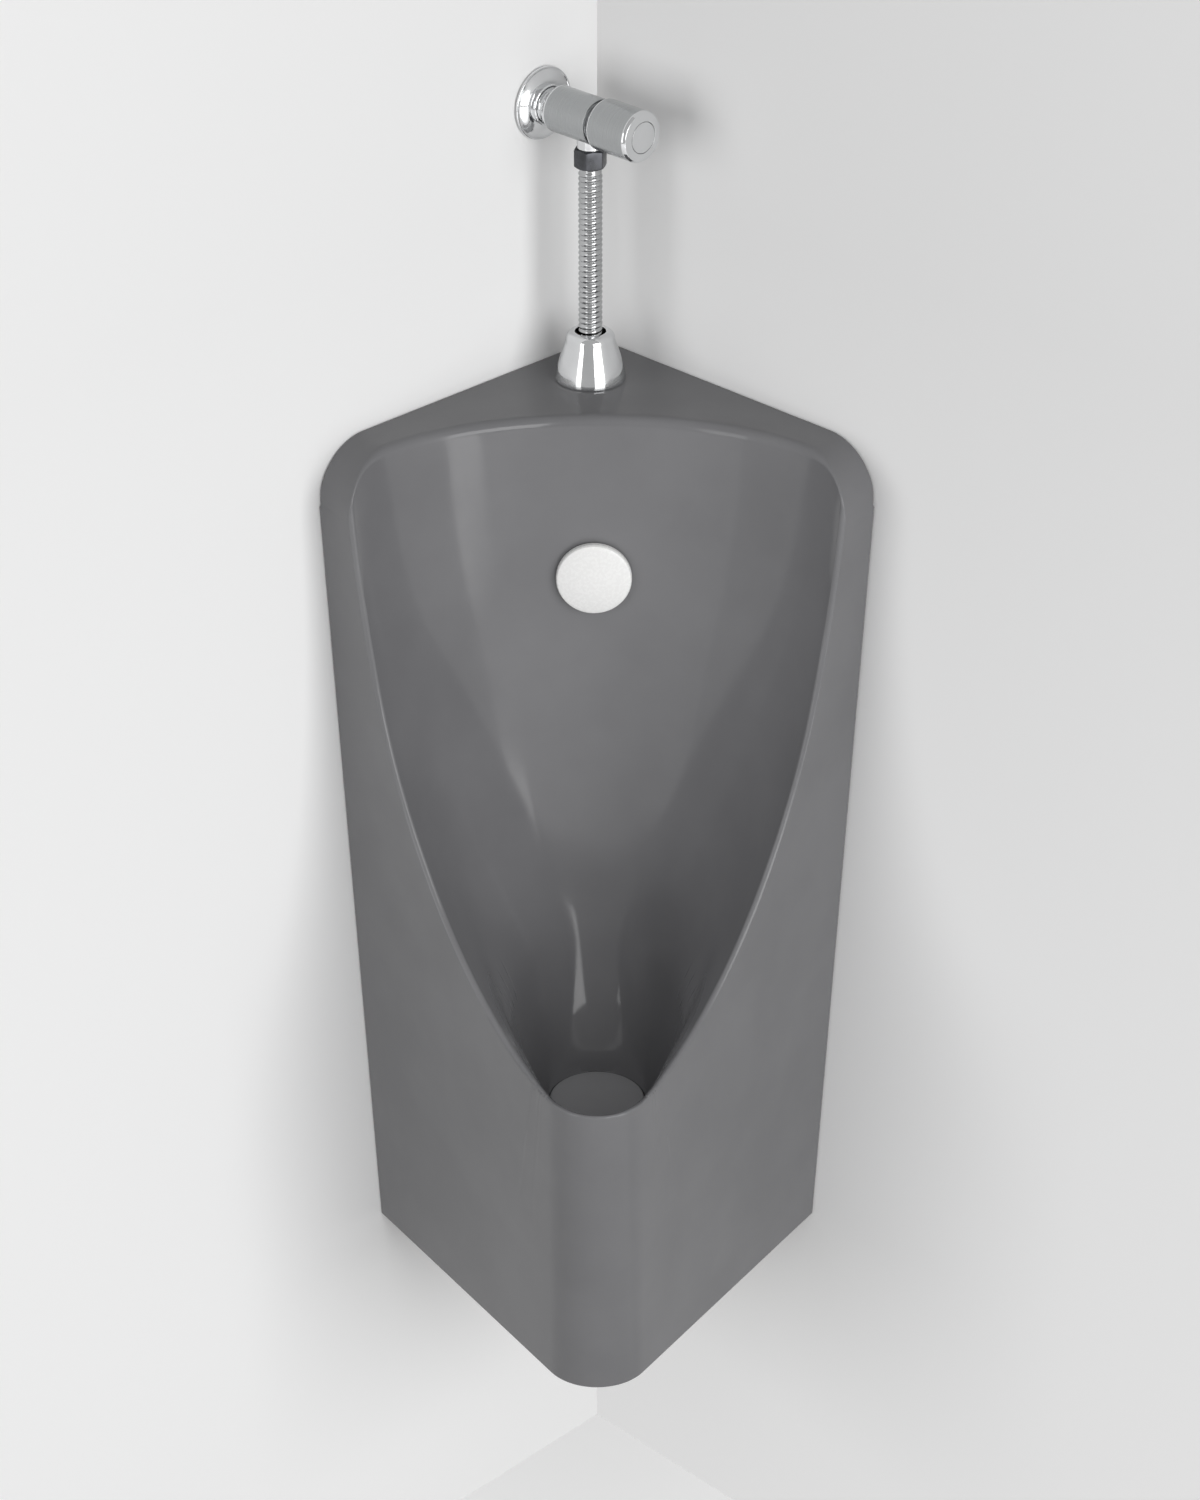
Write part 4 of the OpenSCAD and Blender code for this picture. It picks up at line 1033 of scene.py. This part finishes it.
def fired_clay():
    """Unglazed vitreous china, as in the hollow: dry, pale and slightly sandy."""
    made, tree, out = new_material("unglazed_fired_clay")
    spot = object_spot(tree)
    cloud = grain(tree, spot, 30, 4)
    sand = grain(tree, spot, 0.9, 3)
    shader(tree, out, Base_Color=mixed(tree, cloud, "BDB6AA", "CFC9BE"), Roughness=0.85, IOR=1.5,
           Normal=bumped(tree, sand, 0.06))
    return made


def polished_chrome():
    """Brass castings, buffed and chrome plated: a near mirror with faint wipe marks."""
    made, tree, out = new_material("polished_chrome_plate")
    spot = object_spot(tree)
    smear = grain(tree, spot, 14, 4)
    shader(tree, out, Base_Color=mixed(tree, smear, "DADBDC", "E0E1E2"), Metallic=1.0,
           Roughness=varied(tree, smear, 0.05, 0.1), Normal=bumped(tree, grain(tree, spot, 9, 2), 0.008))
    return made


def satin_chrome(axis):
    """Chrome over a ground brass tube: grinding lines run round the tube and blur what it mirrors."""
    made, tree, out = new_material("satin_ground_chrome")
    spot = object_spot(tree)
    along = add(tree, "VectorMath", {"operation": "DOT_PRODUCT"}, _0=spot, _1=axis).outputs["Value"]
    # The real lines are about 0.1 mm apart and are drawn 0.5 mm apart, so that they show
    noise = add(tree, "TexNoise", {"noise_dimensions": "1D"}, W=along, Scale=1 / (0.5 * MM), Detail=2)
    lines = noise.outputs["Fac"]
    shader(tree, out, Base_Color=mixed(tree, lines, "A2A4A5", "AEB0B1"), Metallic=1.0,
           Roughness=varied(tree, lines, 0.2, 0.28), Normal=bumped(tree, lines, 0.012))
    return made


def plain_metal(name, low_hex, high_hex, rough, mark_mm, depth_mm):
    """Bare or thinly plated metal: the marks of its making make its gloss a little uneven."""
    made, tree, out = new_material(name)
    spot = object_spot(tree)
    mark = grain(tree, spot, mark_mm, 4)
    shader(tree, out, Base_Color=mixed(tree, mark, low_hex, high_hex), Metallic=1.0,
           Roughness=varied(tree, mark, rough, rough + 0.1), Normal=bumped(tree, mark, depth_mm))
    return made


def moulded(name, low_hex, high_hex, rough, grain_mm, depth_mm):
    """Moulded plastic or rubber: even colour, and the mould's fine texture."""
    made, tree, out = new_material(name)
    spot = object_spot(tree)
    mark = grain(tree, spot, grain_mm, 3)
    shader(tree, out, Base_Color=mixed(tree, mark, low_hex, high_hex),
           Roughness=varied(tree, mark, rough, rough + 0.06), IOR=1.49, Normal=bumped(tree, mark, depth_mm))
    return made


# Scene


def camera():
    """The photo's own view: straight into the corner and down on the object."""
    data = bpy.data.cameras.new("photo_camera")
    data.lens = SENSOR * FOCUS_PX / PHOTO_H
    data.sensor_width = SENSOR
    data.shift_x = (PHOTO_W / 2 - SIGHT_X) / PHOTO_H
    data.clip_end = 50
    eye = bpy.data.objects.new("photo_camera", data)
    eye.location = Vector(CAMERA_AT) * MM
    eye.rotation_euler = (math.radians(90 - PITCH_DOWN), 0, 0)
    bpy.context.scene.collection.objects.link(eye)
    bpy.context.scene.camera = eye


def lamp(name, at, aim, size, power, mirrored=True):
    """A soft box: its width and height in millimetres, its power in watts, and whether gloss shows it."""
    data = bpy.data.lights.new(name, "AREA")
    data.shape = "RECTANGLE"
    data.size, data.size_y = size[0] * MM, size[1] * MM
    data.energy = power
    made = bpy.data.objects.new(name, data)
    made.location = Vector(at) * MM
    made.rotation_euler = (Vector(aim) - Vector(at)).to_track_quat("-Z", "Y").to_euler()
    made.visible_camera = False
    made.visible_glossy = mirrored
    bpy.context.scene.collection.objects.link(made)


def seen_directly(tree):
    """1 for what the camera sees, also in a mirror or through glass, and 0 for the light on the object."""
    ray = add(tree, "LightPath").outputs
    seen = add(tree, "Math", {"operation": "ADD"}, _0=ray["Is Camera Ray"], _1=ray["Is Glossy Ray"])
    return add(tree, "Math", {"operation": "ADD", "use_clamp": True}, _0=seen.outputs[0],
               _1=ray["Is Transmission Ray"]).outputs[0]


def world(light, shown):
    """Soft light from all round, and the pale room that the camera, mirrors and glass see in its place."""
    made = bpy.data.worlds.new("soft_room_light")
    made.use_nodes = True
    tree = made.node_tree
    strength = add(tree, "MapRange", Value=seen_directly(tree), To_Min=light, To_Max=shown)
    background = tree.nodes["Background"]
    background.inputs["Color"].default_value = srgb("FFFFFF")
    tree.links.new(strength.outputs[0], background.inputs["Strength"])
    bpy.context.scene.world = made


# The walls get a painted light that grows towards the floor, from this height down
PAINTED_LIGHT_FROM = 900


def painted_plaster(name, colour, painted_glow=0):
    """Matt wall paint with a painted light that the camera, mirrors and glass see: it grows from nothing at a
    set height to its full strength at the floor. The sheet can be looked through from behind so that the
    object's back shows."""
    made, tree, out = new_material(name)
    paint = add(tree, "BsdfDiffuse", Color=srgb(colour))
    height = add(tree, "SeparateXYZ", Vector=object_spot(tree)).outputs["Z"]
    low = add(tree, "MapRange", Value=height, From_Min=PAINTED_LIGHT_FROM * MM, From_Max=FLOOR_Z * MM, To_Max=painted_glow)
    # Painted light: the camera, mirrors and glass see the paint brighter towards the floor, though no lamp
    # lights it more there
    pale = add(tree, "Math", {"operation": "MULTIPLY"}, _0=seen_directly(tree), _1=low.outputs[0])
    bright = add(tree, "Emission", Strength=pale.outputs[0])
    paint = add(tree, "AddShader", _0=paint.outputs[0], _1=bright.outputs[0])
    clear = add(tree, "BsdfTransparent")
    side = add(tree, "NewGeometry")
    mix = add(tree, "MixShader", _0=side.outputs["Backfacing"], _1=paint.outputs[0], _2=clear.outputs[0])
    tree.links.new(mix.outputs[0], out.inputs["Surface"])
    return made


def backdrop(name, corners, material):
    """A flat sheet of the room that only the camera and reflections see. It takes shadows and casts none."""
    bm = bmesh.new()
    bm.faces.new([bm.verts.new(Vector(c) * MM) for c in corners])
    mesh = bpy.data.meshes.new(name)
    bm.to_mesh(mesh)
    bm.free()
    made = bpy.data.objects.new(name, mesh)
    made.visible_diffuse = False
    made.visible_shadow = False
    mesh.materials.append(material)
    bpy.context.scene.collection.objects.link(made)
    return made


def room():
    """Two pale walls behind the object with painted light that grows towards the floor, a paler floor, and a
    dark ceiling that gloss alone shows.
    """
    back = WALL_GAP * math.sqrt(2)
    top = FLOOR_Z + ROOM
    # Painted light: both walls get painted light towards the floor, the right wall more than the left
    left = painted_plaster("wall_paint_with_painted_light_left", "EDEDED", 0.16)
    right = painted_plaster("wall_paint_with_painted_light_right", "EDEDED", 0.2)
    floor = painted_plaster("floor_paint", "F4F4F4", 0.22)
    backdrop("left_wall", [(0, back, FLOOR_Z), (0, back, top), (-ROOM, back - ROOM, top),
                           (-ROOM, back - ROOM, FLOOR_Z)], left)
    backdrop("right_wall", [(0, back, FLOOR_Z), (ROOM, back - ROOM, FLOOR_Z),
                            (ROOM, back - ROOM, top), (0, back, top)], right)
    dark = painted_plaster("ceiling_paint", "1C1C1C")
    ceiling = backdrop("ceiling", [(-ROOM, 0, top), (-ROOM, -2 * ROOM, top), (ROOM, -2 * ROOM, top),
                                   (ROOM, 0, top)], dark)
    ceiling.visible_camera = False
    backdrop("floor", [(0, back, FLOOR_Z), (-ROOM, back - ROOM, FLOOR_Z), (0, back - 2 * ROOM, FLOOR_Z),
                       (ROOM, back - ROOM, FLOOR_Z)], floor)


camera()
room()
world(light=0.2, shown=0.5)
BODY_MIDDLE = (0, -200, 400)
lamp("key_lamp", (1900, -2700, 1300), BODY_MIDDLE, (2600, 2200), 70)
lamp("fill_lamp", (-2500, -2000, 1000), BODY_MIDDLE, (2600, 2200), 36)
lamp("front_lamp", (-100, -3900, 2100), BODY_MIDDLE, (2800, 1800), 26, mirrored=False)
lamp("top_lamp", (0, -2200, 3200), (0, -250, 400), (2200, 1600), 9, mirrored=False)
# This one draws the narrow strip of light in the bowl
lamp("strip_lamp", (1500, -1650, 60), (-50, -190, 400), (700, 640), 3)

valve_axis = VALVE.col[2][:3]
glaze = glazed_china("grey_glazed_china", "6D6D6F", "727274")
# Partly the disc's own paler tone and partly painted light: it is made paler to make up for the shade at the
# bowl's foot
pale_and_painted_light_glaze = glazed_china("light_grey_glazed_china_with_painted_light", "A2A2A4", "A8A8AA")
clay = fired_clay()
chrome = polished_chrome()
satin = satin_chrome(valve_axis)
# Stainless steel tube and pressings, as they come from the rolls
steel = plain_metal("stainless_steel", "B0B1B2", "BEBFC0", 0.1, 6, 0.01)
# Brass under a thin dark nickel, a little worn
dark = plain_metal("dark_nickelled_brass", "494A4C", "55565A", 0.24, 5, 0.02)
# Turned brass with the skin that it gets in air
brass = plain_metal("turned_brass", "B8964C", "C9A85E", 0.28, 3, 0.01)
# Injection moulded, glossy ABS
white = moulded("white_moulded_abs", "E7E7E6", "E9E9E8", 0.24, 1.2, 0.002)
# Nylon plugs, dull from a spark-eroded mould
grey = moulded("grey_moulded_nylon", "8C8D8E", "939495", 0.5, 0.8, 0.02)
# Moulded EPDM rubber seals
rubber = moulded("black_epdm_rubber", "171717", "1F1F1F", 0.68, 0.7, 0.02)

BY_SLOT = {"glaze": glaze, "chrome": chrome, "brushed_chrome": satin, "steel": steel, "dark_steel": dark,
           "brass": brass, "white_plastic": white, "grey_plastic": grey, "rubber": rubber}
for part in frame["record"]["subparts"]:
    mesh = frame["nodes"][part["node"]].data
    mesh.materials.clear()
    mesh.materials.append(BY_SLOT[part["material_slot"]])

ceramic_body(glaze, clay)
wall_flange(chrome)
flush_valve(chrome, satin)
press_button(chrome, satin)
return_spring(steel)
hose_nut("upper_nut", *UPPER_NUT, dark, "upper_hose_nut")
hose_nut("lower_nut", *LOWER_NUT, dark, "lower_hose_nut")
supply_hose(steel)
bell(chrome)
spreader(white)
waste_disc(pale_and_painted_light_glaze)

bpy.context.scene.view_settings.view_transform = "Standard"
